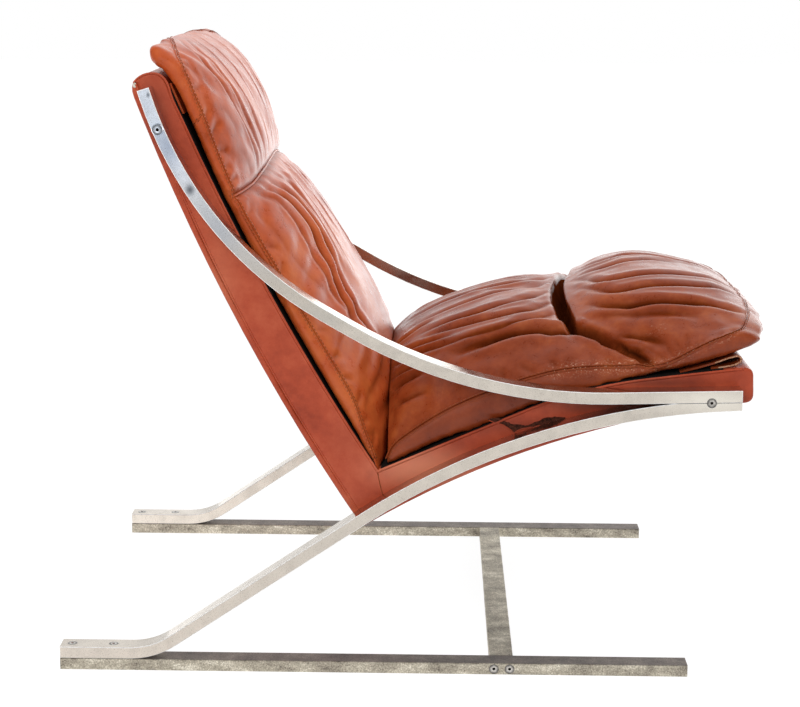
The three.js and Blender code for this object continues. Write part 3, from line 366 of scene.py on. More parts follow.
def patched(add, where, tone, patches):
    """Lays soft oval patches over a tone."""
    for x, z, wide, high, share, tint in patches:
        flat = add("Mapping", (where, (1 / wide, 0, 1 / high)))
        away = add("VectorMath", (flat, (x / wide, 0, z / high)), operation="DISTANCE")
        near = add("MapRange", (away, 0, 1, share, 0), interpolation_type="SMOOTHSTEP")
        tone = layered(add, tone, (near, linear(tint)))
    return tone


def chrome_material(name, base, worn, high_reflection, patches=()):
    """Chromed steel, once polished: a warm grey mirror, broken by pits of 1.4 mm and smears of 24 mm.

    High up it turns bluish white, a painted reflection. Round the screws it takes their painted shade,
    dark in the socket and round the rim.
    """
    material, add, where = start_material(name)
    fine = add("TexNoise", (where, cells(1.4286), 3, 0.70))
    broad = add("TexNoise", (where, cells(23.81), 6, 0.68))
    pits = add("ValToRGB", (fine,), ((0.30, WHITE), (0.44, BLACK)))
    smears = add("ValToRGB", (broad,), ((0.36, BLACK), (0.60, WHITE)))
    # Painted reflection: bluish white towards the top ends of the arms
    high = add("MapRange", (add("SeparateXYZ", (where,)).outputs["Z"], 0.50, 0.66))
    # Painted shade of the screws, from their attribute: dark in the sockets and round the rims
    grime = add("Attribute", attribute_name="grime").outputs["Fac"]
    bright = layered(add, base, (high, high_reflection))
    dulled = add("Mix", (1, bright, grey(0.90)), data_type="RGBA", blend_type="MULTIPLY")
    tone = layered(add, dulled, (smears, bright), (pits, worn), (grime, linear(0x15110F)))
    surface = {
        "Base Color": patched(add, where, tone, patches),
        "Metallic": 1,
        "Roughness": add("MapRange", (smears, 0, 1, 0.26, 0.13)),
        "Normal": add("Bump", (broad, 0.10, 0.0006)),
    }
    return end_material(material, add, surface)


def edge_highlight_material(name):
    """Painted highlight on the softened edge of a chromed bar: near white in spots of 6 mm, bright from every
    side.
    """
    material, add, where = start_material(name)
    highlight_spots = add("TexNoise", (where, cells(5.5556), 3))
    tone = add("ValToRGB", (highlight_spots,), ((0.3, linear(0xE6E2DC)), (0.5, linear(0xFFFEFC))))
    return end_material(material, add, {"Base Color": tone, "Metallic": 0.25, "Roughness": 0.4})


def dull_steel_material(name, tones):
    """Rolled steel whose plating has worn off: satin, with long beige blotches and rust specks of 2 mm."""
    material, add, where = start_material(name)
    blotch = add("TexNoise", (add("Mapping", (where, (0.45, 0.5, 1))), cells(16.667), 6, 0.70))
    speck = add("TexNoise", (where, cells(1.923), 4, 0.75))
    both = add("Mix", (0.5, blotch, speck), data_type="FLOAT")
    stops = [(place, linear(tone)) for place, tone in zip((0.37, 0.44, 0.52, 0.60), tones)]
    surface = {
        "Base Color": add("ValToRGB", (both,), stops),
        "Metallic": 0.7,
        "Roughness": add("MapRange", (both, 0, 1, 0.42, 0.7)),
        "Normal": add("Bump", (both, 0.35, 0.0004)),
    }
    return end_material(material, add, surface)


def leather_material(name, body, pale, dark, roughness, relief, patches=()):
    """Pull-up leather, waxed cowhide: a soft gloss over a grain of 2 mm and creases of 8 mm.

    Its colour is cloudy, and turns to painted shade, nearly black and without gloss, where the attribute of
    painted shade in creases, folds and seams is high. It is scuffed to pale flecks where the "wear" attribute
    is.
    """
    material, add, where = start_material(name)
    cloud = add("TexNoise", (where, cells(142.86), 4, 0.55))
    mottle = add("TexNoise", (where, cells(18.182), 6, 0.70))
    creases = add("TexNoise", (where, cells(7.6923), 5, 0.65))
    scratches = add("TexNoise", (where, cells(2.3256), 3, 0.70))
    grain = add("TexVoronoi", (where, cells(1.923)), feature="DISTANCE_TO_EDGE")
    recess_shade, wear = (add("Attribute", attribute_name=key).outputs["Fac"] for key in ("recess_shade", "wear"))
    mixed = add("Mix", (0.42, cloud, mottle), data_type="FLOAT")
    base = add("ValToRGB", (mixed,), ((0.34, dark), (0.50, body), (0.68, pale)))
    flecks = add("ValToRGB", (scratches,), ((0.56, BLACK), (0.63, WHITE)))
    scuffs = add("Math", (flecks, wear), operation="MULTIPLY")
    # Painted shade in creases, folds and seam grooves: nearly black, and its gloss is taken away below
    deep = tuple(0.10 * c for c in dark[:3]) + (1,)
    tone = layered(add, base, (recess_shade, deep), (scuffs, linear(0xD9A98C)))
    height = add("Mix", (0.72, grain, creases), data_type="FLOAT")
    surface = {
        "Base Color": patched(add, where, tone, patches),
        "Roughness": add("MapRange", (mottle, 0.3, 0.7, roughness - 0.07, roughness + 0.09)),
        "IOR": 1.45,
        "Specular IOR Level": add("MapRange", (recess_shade, 0, 0.45, 0.42, 0)),
        "Normal": add("Bump", (height, 0.45, relief)),
    }
    return end_material(material, add, surface)


def plain_material(name, size, dark, light, roughness, relief):
    """Woven, felted or torn stuff: two tones in a noise as coarse as its threads, with a relief to match."""
    material, add, where = start_material(name)
    noise = add("TexNoise", (where, cells(size), 4, 0.7))
    surface = {
        "Base Color": add("ValToRGB", (noise,), ((0.35, linear(dark)), (0.65, linear(light)))),
        "Roughness": roughness,
        "Specular IOR Level": 0.15,
        "Normal": add("Bump", (noise, 0.5, relief)),
    }
    return end_material(material, add, surface)


def wood_material(name):
    """Birch plywood, sanded: pale veneer with a grain 3 mm wide that runs along X."""
    material, add, where = start_material(name)
    rings = add("TexNoise", (add("Mapping", (where, (12, 300, 300))), 1, 5, 0.6))
    tone = add("ValToRGB", (rings,), ((0.35, linear(0xA9865A)), (0.65, linear(0xD9BC8C))))
    return end_material(material, add, {"Base Color": tone, "Roughness": 0.6})


MATERIALS = {}


def make_materials(settings):
    """Makes every finish of the chair."""
    steel = settings.steel
    # Colours of the pits, and of the painted reflection, bluish white, high on the chrome
    pits, upper_reflection = (*steel.pits, 1), (*steel.upper_reflection, 1)
    MATERIALS.update(
        # Faces of the legs and arms: a worn, warm mirror, with patches of painted reflection and highlight
        chrome=chrome_material("chromed_steel_worn", (*steel.chrome, 1), pits, upper_reflection, CHROME_PAINTED_REFLECTIONS),
        # Screws, washers and nuts: small bright discs, with painted shade in the sockets and round the rims
        # of the screws
        screw=chrome_material("nickelled_screw_steel", linear(0xDAD6D0), pits, upper_reflection),
        # Softened corners of the same bars: pale lines of painted highlight beside the mirror
        edge=edge_highlight_material("chromed_steel_edge_painted_highlight"),
        # Base rails and crossbar: satin, blotched beige and brown
        dull=dull_steel_material("base_steel_corroded", (0x5E574F, 0xA29A8C, 0xC4BCAA, 0xF4EEDF)),
        # Tops of the rails: the same steel, but darker, as painted shade
        top=dull_steel_material("base_steel_top_painted_shade", (0x4A443F, 0x736A65, 0x857C76, 0xA29A90)),
        # Cheeks and rails inside the shell: pale, grained wood
        wood=wood_material("birch_plywood"),
    )
    for key, name, roughness, relief, patches in (
        # Cognac hide of the back: orange, with a soft gloss on its crowns
        ("back", "back_cushion_pull_up_leather", 0.31, 0.0006, ()),
        # The same hide, sat on for years: browner and more creased
        ("seat", "seat_cushion_pull_up_leather", 0.31, 0.0007, ()),
        # Firm saddle hide of the shell: smooth and reddish, with patches of painted highlight and painted
        # shade, and darker patches
        ("shell", "shell_saddle_leather", 0.36, 0.0004, SHELL_PAINTED_LIGHT_AND_TONE),
    ):
        tones = [(*getattr(settings.leather, key + tone), 1) for tone in ("", "_pale", "_dark")]
        MATERIALS[key] = leather_material(name, *tones, roughness, relief, patches)
    for key, *finish in PLAIN_FINISHES:
        MATERIALS[key] = plain_material(*finish)


# Pieces and their meshes
def put_material(target, key):
    target.data.materials.clear()
    target.data.materials.append(MATERIALS[key])


def linked(name, data):
    """New object in the scene."""
    made = bpy.data.objects.new(name, data)
    bpy.context.scene.collection.objects.link(made)
    return made


def new_object(name, mesh, key, body):
    """Links a mesh as a smooth piece that rides on a body."""
    piece = linked(name, mesh)
    mesh.shade_smooth()
    put_material(piece, key)
    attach(piece, body)
    return piece


def edited(mesh, *steps):
    """Runs steps on a mesh in its editable form."""
    edit = bmesh.new()
    edit.from_mesh(mesh)
    for step in steps:
        step(edit)
    edit.to_mesh(mesh)
    edit.free()
    return mesh


def turn_outwards(edit):
    bmesh.ops.recalc_face_normals(edit, faces=edit.faces)


def merged_copy(node_name):
    """Mesh of a CAD node with its doubles merged and its flat faces joined."""
    flat = math.radians(0.4)
    mesh = edited(
        NODES[node_name].data.copy(),
        lambda edit: bmesh.ops.remove_doubles(edit, verts=edit.verts, dist=1e-5),
        lambda edit: bmesh.ops.dissolve_limit(edit, angle_limit=flat, verts=edit.verts, edges=edit.edges),
    )
    if "custom_normal" in mesh.attributes:
        mesh.attributes.remove(mesh.attributes["custom_normal"])
    return mesh


def evaluated_mesh(piece):
    graph = bpy.context.evaluated_depsgraph_get()
    return bpy.data.meshes.new_from_object(piece.evaluated_get(graph), depsgraph=graph)


def bake(piece):
    """Applies the modifiers of a piece to its mesh."""
    old, piece.data = piece.data, evaluated_mesh(piece)
    piece.modifiers.clear()
    bpy.data.meshes.remove(old)


def read(items, key, width=3, kind=np.float32):
    """One property of a mesh's points or edges, a row for each."""
    values = np.empty(len(items) * width, kind)
    items.foreach_get(key, values)
    return values.reshape(-1, width)


def coordinates(mesh):
    return read(mesh.vertices, "co").astype(float)


def set_coordinates(mesh, points):
    mesh.vertices.foreach_set("co", np.asarray(points, np.float32).ravel())
    mesh.update()


def set_values(mesh, name, values):
    """Gives the points of a mesh one number each, for its material."""
    mesh.attributes.new(name, "FLOAT", "POINT").data.foreach_set("value", values.astype(np.float32))


def unit(rows):
    return rows / np.linalg.norm(rows, axis=1, keepdims=True)


def bell(away, width):
    return np.exp(-((away / width) ** 2))


def smooth_line(rows, rounds):
    """Evens the rows along a line in place, and keeps its ends."""
    for _ in range(rounds):
        rows[1:-1] = (rows[:-2] + 2 * rows[1:-1] + rows[2:]) / 4


def evened(values, pairs, rounds):
    """Values at the points of a mesh, averaged with their neighbours."""
    count = np.zeros(len(values))
    np.add.at(count, pairs.ravel(), 1)
    for _ in range(rounds):
        total = np.zeros_like(values)
        np.add.at(total, pairs[:, 0], values[pairs[:, 1]])
        np.add.at(total, pairs[:, 1], values[pairs[:, 0]])
        mean = total / (count[:, None] if values.ndim > 1 else count)
        values = (values + mean) / 2
    return values


def even_line(points, step):
    """Polyline resampled at an even step."""
    spans = np.concatenate([[0], np.cumsum(np.linalg.norm(np.diff(points, axis=0), axis=1))])
    count = max(2, round(spans[-1] / step) + 1)
    where = np.linspace(0, spans[-1], count)
    return np.stack([np.interp(where, spans, points[:, k]) for k in range(3)], -1)


def line_distance(points, line):
    """Distance of points to a polyline, and the share of its length at the nearest place."""
    steps = np.diff(line, axis=0)
    lengths = np.linalg.norm(steps, axis=1)
    starts = np.concatenate([[0], np.cumsum(lengths)])
    best = np.full(len(points), np.inf)
    share = np.zeros(len(points))
    for k, step in enumerate(steps):
        if lengths[k] < 1e-7:
            continue
        t = ((points - line[k]) @ step / lengths[k] ** 2).clip(0, 1)
        away = np.linalg.norm(points - line[k] - t[:, None] * step, axis=1)
        nearer = away < best
        best[nearer] = away[nearer]
        share[nearer] = (starts[k] + t[nearer] * lengths[k]) / starts[-1]
    return best, share


def surface_of(mesh):
    """Search tree over a mesh, for laying things on it."""
    trees = []
    edited(mesh, lambda edit: trees.append(BVHTree.FromBMesh(edit)))
    return trees[0]


def laid_on(tree, points, rounds=6):
    """Points moved to the nearest place of a surface, evened along the line, and the normals there."""
    points = np.array(points, float)
    for last in (False, True):
        hits = [tree.find_nearest(Vector(p)) for p in points]
        points = np.array([hit[0] for hit in hits])
        if not last:
            smooth_line(points, rounds)
    normals = np.array([hit[1] for hit in hits])
    smooth_line(normals, rounds)
    return points, unit(normals)


def ring_faces(start, after, count):
    """Quads between two rings of points, by the numbers of their first points."""
    for i in range(count):
        k = (i + 1) % count
        yield start + i, start + k, after + k, after + i


def swept(name, rows):
    """Closed mesh through rows of points round a profile."""
    count = rows.shape[1]
    faces = [face for j in range(len(rows) - 1) for face in ring_faces(j * count, (j + 1) * count, count)]
    for start in (0, (len(rows) - 1) * count):
        faces.append(tuple(range(start, start + count)))
    mesh = bpy.data.meshes.new(name)
    mesh.from_pydata(rows.reshape(-1, 3).tolist(), [], faces)
    return edited(mesh, turn_outwards)


def tube(name, line, radius, sides=10):
    """Round cord along a line, with rounded ends."""
    along = unit(np.gradient(line, axis=0))
    first = unit(np.cross(along, [0.13, 0.21, 0.97]))
    second = np.cross(along, first)
    turns = np.linspace(0, 2 * np.pi, sides, endpoint=False)
    ends = [(-0.95, 0.3), (-0.6, 0.8)]
    rows = [(0, *end) for end in ends]
    rows += [(k, 0, 1) for k in range(len(line))]
    rows += [(len(line) - 1, -shift, share) for shift, share in reversed(ends)]
    ring = [
        line[k]
        + along[k] * shift * radius
        + radius * share * (np.outer(np.cos(turns), first[k]) + np.outer(np.sin(turns), second[k]))
        for k, shift, share in rows
    ]
    return swept(name, np.array(ring))


def dress_node(node_name, piece_name, key, body, softening):
    """Piece in the shape of a rigid node, with softened edges and shading that keeps its flats flat."""
    piece = linked(piece_name, merged_copy(node_name))
    if softening:
        bevel = piece.modifiers.new("soften", "BEVEL")
        bevel.width = softening
        bevel.segments = 2
        bevel.limit_method = "ANGLE"
        bevel.angle_limit = math.radians(35)
    piece.data.shade_smooth()
    weigh = piece.modifiers.new("flats", "WEIGHTED_NORMAL")
    weigh.keep_sharp = False
    weigh.weight = 100
    put_material(piece, key)
    bake(piece)
    if key == "chrome":
        # The softened corners look neither sideways nor straight along the bar's plane, and get the painted
        # highlight
        piece.data.materials.append(MATERIALS["edge"])
        for face in piece.data.polygons:
            face.material_index = int(0.2 < abs(face.normal.y) < 0.93)
    elif key == "dull":
        # Only the tops of the rails get the painted shade
        piece.data.materials.append(MATERIALS["top"])
        for face in piece.data.polygons:
            face.material_index = int(face.normal.z > 0.9 and "rail" in node_name)
    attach(piece, body)
    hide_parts(node_name)
    return piece


def dress_screw(node_name):
    """Countersunk screw with painted shade in its socket and a painted shadow line round its rim."""
    rim, socket, socket_depth = 0.0055, 0.0035, 0.001
    piece = dress_node(node_name, f"{node_name}_head", "screw", CHAIR, 0)
    points = coordinates(piece.data)
    axis = 2 if node_name.startswith("foot") else 1
    outward = 1 if axis == 2 or "left" in node_name else -1
    middle = (points.max(0) + points.min(0)) / 2
    across = np.delete(points - middle, axis, 1)
    depth = (points[:, axis] * outward).max() - points[:, axis] * outward
    radius = np.hypot(*across.T)
    # Painted shade: a shadow line round the rim, and the dark inside of the socket
    grime = np.where(radius > rim, 0.75, 0.0)
    grime[(depth > socket_depth) & (radius < socket)] = 1
    set_values(piece.data, "grime", grime)


# Cushion forms
def way(degrees):
    return np.array([math.cos(math.radians(degrees)), math.sin(math.radians(degrees))])


def left_of(direction):
    return np.stack([-direction[..., 1], direction[..., 0]], -1)


def seat_path():
    """Straight, bent and straight again, from the crease to the top of the nose."""
    first, last = SEAT_HEADINGS
    turns = np.radians(np.linspace(first, last, 25))
    headings = np.stack([np.cos(turns), np.sin(turns)], -1)
    arc = SEAT_BEND * (left_of(headings[0]) * -1 + left_of(headings))
    rest = NOSE_TOP - CREASE - arc[-1]
    a, b = way(first), way(last)
    run = (rest[0] * b[1] - rest[1] * b[0]) / (a[0] * b[1] - a[1] * b[0])
    return np.vstack([CREASE, CREASE + a * run + arc, NOSE_TOP])


def back_path():
    """Shallow bow from the crease to the front of the shell's top."""
    chord = HEAD_TOP - CREASE
    half = np.hypot(*chord) / 2
    radius = (half**2 + BACK_BOW**2) / (2 * BACK_BOW)
    turns = np.linspace(-1, 1, 25) * math.asin(half / radius)
    across = left_of(chord / (2 * half))
    middle = (CREASE + HEAD_TOP) / 2
    along = np.outer(np.sin(turns) * radius / half / 2, chord)
    return middle + along + np.outer(np.cos(turns) * radius - (radius - BACK_BOW), across)


class CushionForm:
    """A padded form whose places are given by a station round its section and a share of its half width.

    It lies along a path, on the side 1 (left) or -1 (right) of it. The dips are (knots, depth, width in
    stations) of the grooves that part it into rolls.
    """

    def __init__(self, path, side, section, length, crown, dips):
        self.path = path
        self.side = side
        self.section = np.array(section)
        self.length = length
        self.crown = crown
        self.dips = dips
        steps = np.hypot(*np.diff(path, axis=0).T)
        self.distances = np.concatenate([[0], np.cumsum(steps)])
        ways = np.gradient(path, axis=0)
        self.ways = ways / np.hypot(*ways.T)[:, None]

    def curve(self, stations, columns):
        """Closed smooth curve through two columns of the section's table."""
        knots = self.section[:, columns]
        base = np.floor(stations).astype(int)
        t = (stations - base)[:, None]
        p0, p1, p2, p3 = (knots[(base + k) % len(knots)] for k in (-1, 0, 1, 2))
        return (
            (2 * p1 - 2 * p2 + (p2 - p0) / 2 + (p3 - p1) / 2) * t**3
            + (-3 * p1 + 3 * p2 - (p2 - p0) - (p3 - p1) / 2) * t**2
            + (p2 - p0) / 2 * t
            + p1
        )

    def locate(self, distances, heights):
        """Places at distances along the path and heights off it."""
        k = np.clip(np.searchsorted(self.distances, distances) - 1, 0, len(self.path) - 2)
        spans = np.diff(self.distances)[k]
        t = (distances - self.distances[k]) / spans
        on = self.path[k] + t[:, None] * (self.path[k + 1] - self.path[k])
        blend = np.clip(t, 0, 1)[:, None]
        ways = self.ways[k] * (1 - blend) + self.ways[k + 1] * blend
        ways /= np.hypot(*ways.T)[:, None]
        return on + left_of(ways) * heights[:, None]

    def places(self, stations, shares):
        """World places at stations round the section and shares of the half width."""
        stations = np.asarray(stations, float)
        shares = np.asarray(shares, float)
        swell = (1 - np.abs(shares) ** 2.8).clip(0) ** 0.85
        edge = self.curve(stations, [0, 1])
        middle = self.curve(stations, [2, 3])
        at = (edge * (1 - swell[:, None]) + middle * swell[:, None]) * [self.length, self.crown]
        count = len(self.section)
        heights = at[:, 1]
        for knots, depth, width in self.dips:
            place = np.interp(shares, [k[1] for k in knots], [k[0] for k in knots])
            away = np.abs((stations - place + count / 2) % count - count / 2) / width
            share = (1 - away).clip(0)
            heights = heights - depth * swell * share**2 * (3 - 2 * share)
        floor = np.where(at[:, 0] < self.distances[-1], 0.0008, -self.crown)
        heights = np.maximum(heights, floor)
        flat = self.locate(at[:, 0], self.side * heights)
        # The sides draw in between the corners, and more towards the far end
        along = np.clip(at[:, 0] / self.length, 0, 1)
        pull = 0.007 * np.sin(np.pi * along) + 0.012 * ((along - 0.88).clip(0) / 0.12) ** 2.2
        y = shares * (SHELL_HALF_WIDTH - 0.0077 - pull)
        return np.stack([flat[:, 0], y, flat[:, 1]], -1)

    def line(self, knots, count=40):
        """Polyline through (station, share) knots."""
        knots = np.array(knots, float)
        spans = np.concatenate([[0], np.cumsum(np.hypot(*(np.diff(knots, axis=0) * [0.06, 0.27]).T))])
        where = np.linspace(0, spans[-1], count)
        stations, shares = (np.interp(where, spans, column) for column in knots.T)
        smooth_line(stations, 3)
        smooth_line(shares, 3)
        return self.places(stations % len(self.section), shares)

    def sunk(self, knots, depth, count):
        """Polyline on the form, moved into it."""
        line = self.line(knots, count)
        before, after = (self.line([(u + shift, w) for u, w in knots], count) for shift in (-0.35, 0.35))
        outward = unit(np.cross(after - before, np.gradient(line, axis=0)) * -self.side)
        x, z = self.path[len(self.path) // 2]
        if ((line - [x, 0, z]) * outward).sum() < 0:
            outward = -outward
        return line - outward * depth

    def grid(self, per_row, half_rows):
        """Stations and shares of an even grid over the form, a row for each share."""
        stations = np.arange(len(self.section) * per_row) / per_row
        shares = np.sin(np.linspace(-1, 1, 2 * half_rows + 1) * np.pi / 2)
        return np.meshgrid(stations, shares)

    def mesh(self, name, per_row, half_rows):
        """Closed mesh of the form, with rounded rims."""
        stations, shares = self.grid(per_row, half_rows)
        rows, count = stations.shape
        points = self.places(stations.ravel(), shares.ravel())
        faces = [face for j in range(rows - 1) for face in ring_faces(j * count, (j + 1) * count, count)]
        for row, side in ((0, -1), (rows - 1, 1)):
            rim = points[row * count : (row + 1) * count]
            flat = rim[:, [0, 2]]
            ways = np.roll(flat, -1, 0) - np.roll(flat, 1, 0)
            inward = left_of(ways / np.hypot(*ways.T).clip(1e-9)[:, None])
            area = np.sum(flat[:, 0] * np.roll(flat[:, 1], -1) - np.roll(flat[:, 0], -1) * flat[:, 1])
            inward *= 1 if area > 0 else -1
            before = row * count
            for inset, bulge in ((0.0025, 0.0022), (0.0055, 0.0038), (0.0085, 0.0044)):
                ring = rim.copy()
                ring[:, [0, 2]] += inward * inset
                ring[:, 1] += side * bulge
                start = len(points)
                points = np.vstack([points, ring])
                faces += [face[::side] for face in ring_faces(before, start, count)]
                before = start
            faces.append(tuple(range(before, before + count))[::side])
        made = bpy.data.meshes.new(name)
        made.from_pydata(points.tolist(), [], faces)
        return edited(
            made,
            lambda edit: bmesh.ops.triangulate(edit, faces=[f for f in edit.faces if len(f.verts) > 4]),
            turn_outwards,
        )

    def kept_clear(self, points):
        """Keeps a cushion inside the bars, off the shell and on its side of the contact."""
        points[:, 1] = points[:, 1].clip(-CUSHION_HALF_WIDTH, CUSHION_HALF_WIDTH)
        flat = points[:, [0, 2]]
        steps = np.diff(self.path, axis=0)
        lengths = np.hypot(*steps.T)
        best = np.full(len(points), np.inf)
        height = np.zeros(len(points))
        nearest = np.zeros((len(points), 2))
        for k, step in enumerate(steps):
            t = ((flat - self.path[k]) @ step / lengths[k] ** 2).clip(0, 1)
            foot = self.path[k] + t[:, None] * step
            away = np.hypot(*(flat - foot).T)
            nearer = away < best
            best[nearer] = away[nearer]
            normal = left_of(step / lengths[k]) * self.side
            height[nearer] = ((flat - foot) @ normal)[nearer]
            nearest[nearer] = normal
        beyond = (flat - self.path[-1]) @ (self.path[-1] - self.path[-2]) > 0
        low = (height < LIFT) & (best < 0.03) & ~beyond
        flat[low] += nearest[low] * (LIFT - height[low])[:, None]
        points[:, [0, 2]] = flat
        limits = (CONTACT_X + 0.0004, None) if self is SEAT_FORM else (None, CONTACT_X - 0.0001)
        points[:, 0] = points[:, 0].clip(*limits)
        return points


SEAT_FORM = CushionForm(seat_path(), 1, SEAT_SECTION, 0.530, 0.122, ((SEAT_GROOVE, 0.018, 0.27),))
BACK_FORM = CushionForm(back_path(), -1, BACK_SECTION, 0.606, 0.094, ((HEAD_CREASE, 0.009, 0.50),))


def folds_of(rows, shallow, steep=1, limit=math.inf):
    """Folds as (depth, width, knots). Depths over the limit are scaled by steep, the others by shallow."""
    for deep, width, *line in rows:
        share = steep if deep > limit else shallow
        yield share * deep / 1000, width / 1000, list(zip(line[::2], line[1::2]))


def puckers(start, end, side, random, spacing, reach):
    """Short folds that run off a side seam, as the thread draws the cover in."""
    place = start + 0.3
    while place < end - 0.3:
        length = reach * random.uniform(0.5, 1.3)
        lean = random.uniform(-0.12, 0.12)
        knots = [
            (place, side * 0.995),
            (place + lean, side * (1 - length * 0.6)),
            (place + 1.6 * lean, side * (1 - length)),
        ]
        yield random.uniform(0.0008, 0.0018), random.uniform(0.0036, 0.0060), knots
        place += spacing * random.uniform(0.6, 1.4)


def press(points, normals, folds, line, depth, width, ridge, taper, dark, full):
    """Presses a valley along a line, with a soft ridge on each side.

    It tapers off at both ends over a share of its length, and its bottom gets painted shade over dark
    widths, wholly where the valley is at least full deep.
    """
    reach = 4.5 * width
    low, high = line.min(0) - reach, line.max(0) + reach
    near = np.nonzero(((points > low) & (points < high)).all(1))[0]
    if not len(near):
        return
    away, share = line_distance(points[near], line)
    fade = np.ones(len(near))
    if taper:
        for place in (share, 1 - share):
            fade *= (place / (0.3 * taper)).clip(0, 1) ** 0.8
    valley = 0.45 * bell(away, width) + 0.55 * np.exp(-away / (0.5 * width))
    bank = bell(away - 2.1 * width, 1.1 * width)
    points[near] += normals[near] * ((ridge * bank - valley) * depth * fade)[:, None]
    # Painted shade at the bottom of the valley, gathered in the folds array
    shade = bell(away, dark * width)
    folds[near] = np.maximum(folds[near], shade * fade * min(1, depth / full))


def simulated(piece, pins, settings):
    """Runs the cover of a cushion as cloth under pressure and returns where its points come to."""
    group = piece.vertex_groups.new(name="held")
    for k, weight in enumerate(pins):
        if weight > 0.01:
            group.add([k], float(weight), "REPLACE")
    cloth = piece.modifiers.new("cover", "CLOTH")
    for key, value in CLOTH.items():
        setattr(cloth.settings, key, value)
    cloth.settings.uniform_pressure_force = settings.pressure
    cloth.settings.shrink_min = settings.slack
    cloth.settings.effector_weights.gravity = 0
    cloth.collision_settings.use_collision = False
    cloth.collision_settings.use_self_collision = False
    cloth.point_cache.frame_start = 1
    cloth.point_cache.frame_end = settings.frames
    for k in range(1, settings.frames + 1):
        bpy.context.scene.frame_set(k)
    graph = bpy.context.evaluated_depsgraph_get()
    result = coordinates(piece.evaluated_get(graph).to_mesh())
    piece.evaluated_get(graph).to_mesh_clear()
    piece.modifiers.remove(cloth)
    piece.vertex_groups.remove(group)
    bpy.context.scene.frame_set(1)
    return result


def swollen(form, piece, rest, pairs, creases, settings):
    """Places of the cover after its simulation. The rims and the creases are held."""
    stations = form.grid(RING_STEPS, 1)[0][0]
    rims = np.vstack([form.places(stations, np.full(len(stations), side)) for side in (-1, 1)])
    tree = KDTree(len(rims))
    for k, knot in enumerate(rims):
        tree.insert(knot, k)
    tree.balance()
    away = np.array([tree.find(p)[2] for p in rest])
    for knots, _, width, _ in creases:
        away = np.minimum(away, line_distance(rest, form.line(knots, 80))[0] - 1.2 * width)
    held = (1 - (away - HELD) / (FREE - HELD)).clip(0, 1)
    shift = simulated(piece, held, settings) - rest
    shift = evened(shift - evened(shift, pairs, 80), pairs, 4)
    size = np.linalg.norm(shift, axis=1, keepdims=True)
    shift *= np.minimum(1, settings.reach / size.clip(1e-9))
    return evened(rest + shift, pairs, 1)


def make_cushion(form, node, body, key, settings, creases, folds, wear):
    """Remeshed, simulated and folded cushion that stands for its CAD node.

    The creases are (knots, depth, width, taper), the folds (depth, width, knots) and the places of wear
    (knots, width, amount).
    """
    name = f"{node}_cover"
    piece = linked(name, form.mesh(name, RING_STEPS, HALF_ROWS))
    remesh = piece.modifiers.new("even", "REMESH")
    remesh.mode = "VOXEL"
    remesh.voxel_size = settings.voxel
    bake(piece)
    pairs = read(piece.data.edges, "vertices", 2, np.int32)
    rest = evened(coordinates(piece.data), pairs, 3)
    set_coordinates(piece.data, rest)
    set_coordinates(piece.data, swollen(form, piece, rest, pairs, creases, settings))
    finer = piece.modifiers.new("finer", "SUBSURF")
    finer.levels = finer.render_levels = 1
    bake(piece)
    mesh = piece.data
    points = coordinates(mesh)
    # Painted shade of the creases and folds, a value for each point
    depth = np.zeros(len(points))
    pairs = read(mesh.edges, "vertices", 2, np.int32)
    tree = surface_of(mesh)
    for knots, deep, width, taper in creases:
        normals = unit(evened(read(mesh.vertices, "normal").astype(float), pairs, 12))
        line = laid_on(tree, form.line(knots, 80), 2)[0]
        press(points, normals, depth, line, deep, width, ridge=0.12, taper=taper, dark=1.3, full=0.016)
        set_coordinates(mesh, points)
    tree = surface_of(mesh)
    normals = evened(read(mesh.vertices, "normal").astype(float), pairs, 3)
    for deep, width, knots in folds:
        line = laid_on(tree, form.line(knots), 2)[0]
        press(points, normals, depth, line, 1.15 * deep, width, ridge=0.40, taper=1, dark=0.75, full=0.007)
    points = form.kept_clear(points)
    set_coordinates(mesh, points)
    # The painted shade goes to the material as a point attribute
    set_values(mesh, "recess_shade", depth * 0.92)
    worn = np.zeros(len(points))
    for knots, width, amount in wear:
        worn = np.maximum(worn, amount * bell(line_distance(points, form.line(knots))[0], width))
    set_values(mesh, "wear", worn)
    mesh.shade_smooth()
    put_material(piece, key)
    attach(piece, body)
    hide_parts(node)
    return surface_of(mesh)


# Seams, stitches and trim
def stitch_tree():
    """Node tree that sets stitches of an even pitch along a curve."""
    tree = bpy.data.node_groups.get("stitches_along")
    if tree:
        return tree
    tree = bpy.data.node_groups.new("stitches_along", "GeometryNodeTree")
    for label, kind in (
        ("Line", "Geometry"),
        ("Pitch", "Float"),
        ("Thickness", "Float"),
        ("Length", "Float"),
        ("Thread", "Material"),
    ):
        tree.interface.new_socket(label, in_out="INPUT", socket_type=f"NodeSocket{kind}")
    tree.interface.new_socket("Stitches", in_out="OUTPUT", socket_type="NodeSocketGeometry")
    add = partial(add_node, tree)
    line, pitch, thick, length, thread = add("NodeGroupInput").outputs[:5]
    spots = add("GeometryNodeCurveToPoints", {"Curve": line, "Length": pitch}, mode="LENGTH")
    ball = add("GeometryNodeMeshUVSphere", {"Segments": 6, "Rings": 5, "Radius": 1.0})
    size = add("CombineXYZ", (thick, thick, length))
    grain = add("GeometryNodeTransform", {"Geometry": ball, "Scale": size})
    turned = {"Points": spots, "Instance": grain, "Rotation": spots.outputs["Rotation"]}
    real = add("GeometryNodeRealizeInstances", (add("GeometryNodeInstanceOnPoints", turned),))
    smooth = add("GeometryNodeSetShadeSmooth", (real,))
    finished = add("GeometryNodeSetMaterial", {"Geometry": smooth, "Material": thread})
    add("NodeGroupOutput", (finished,))
    return tree


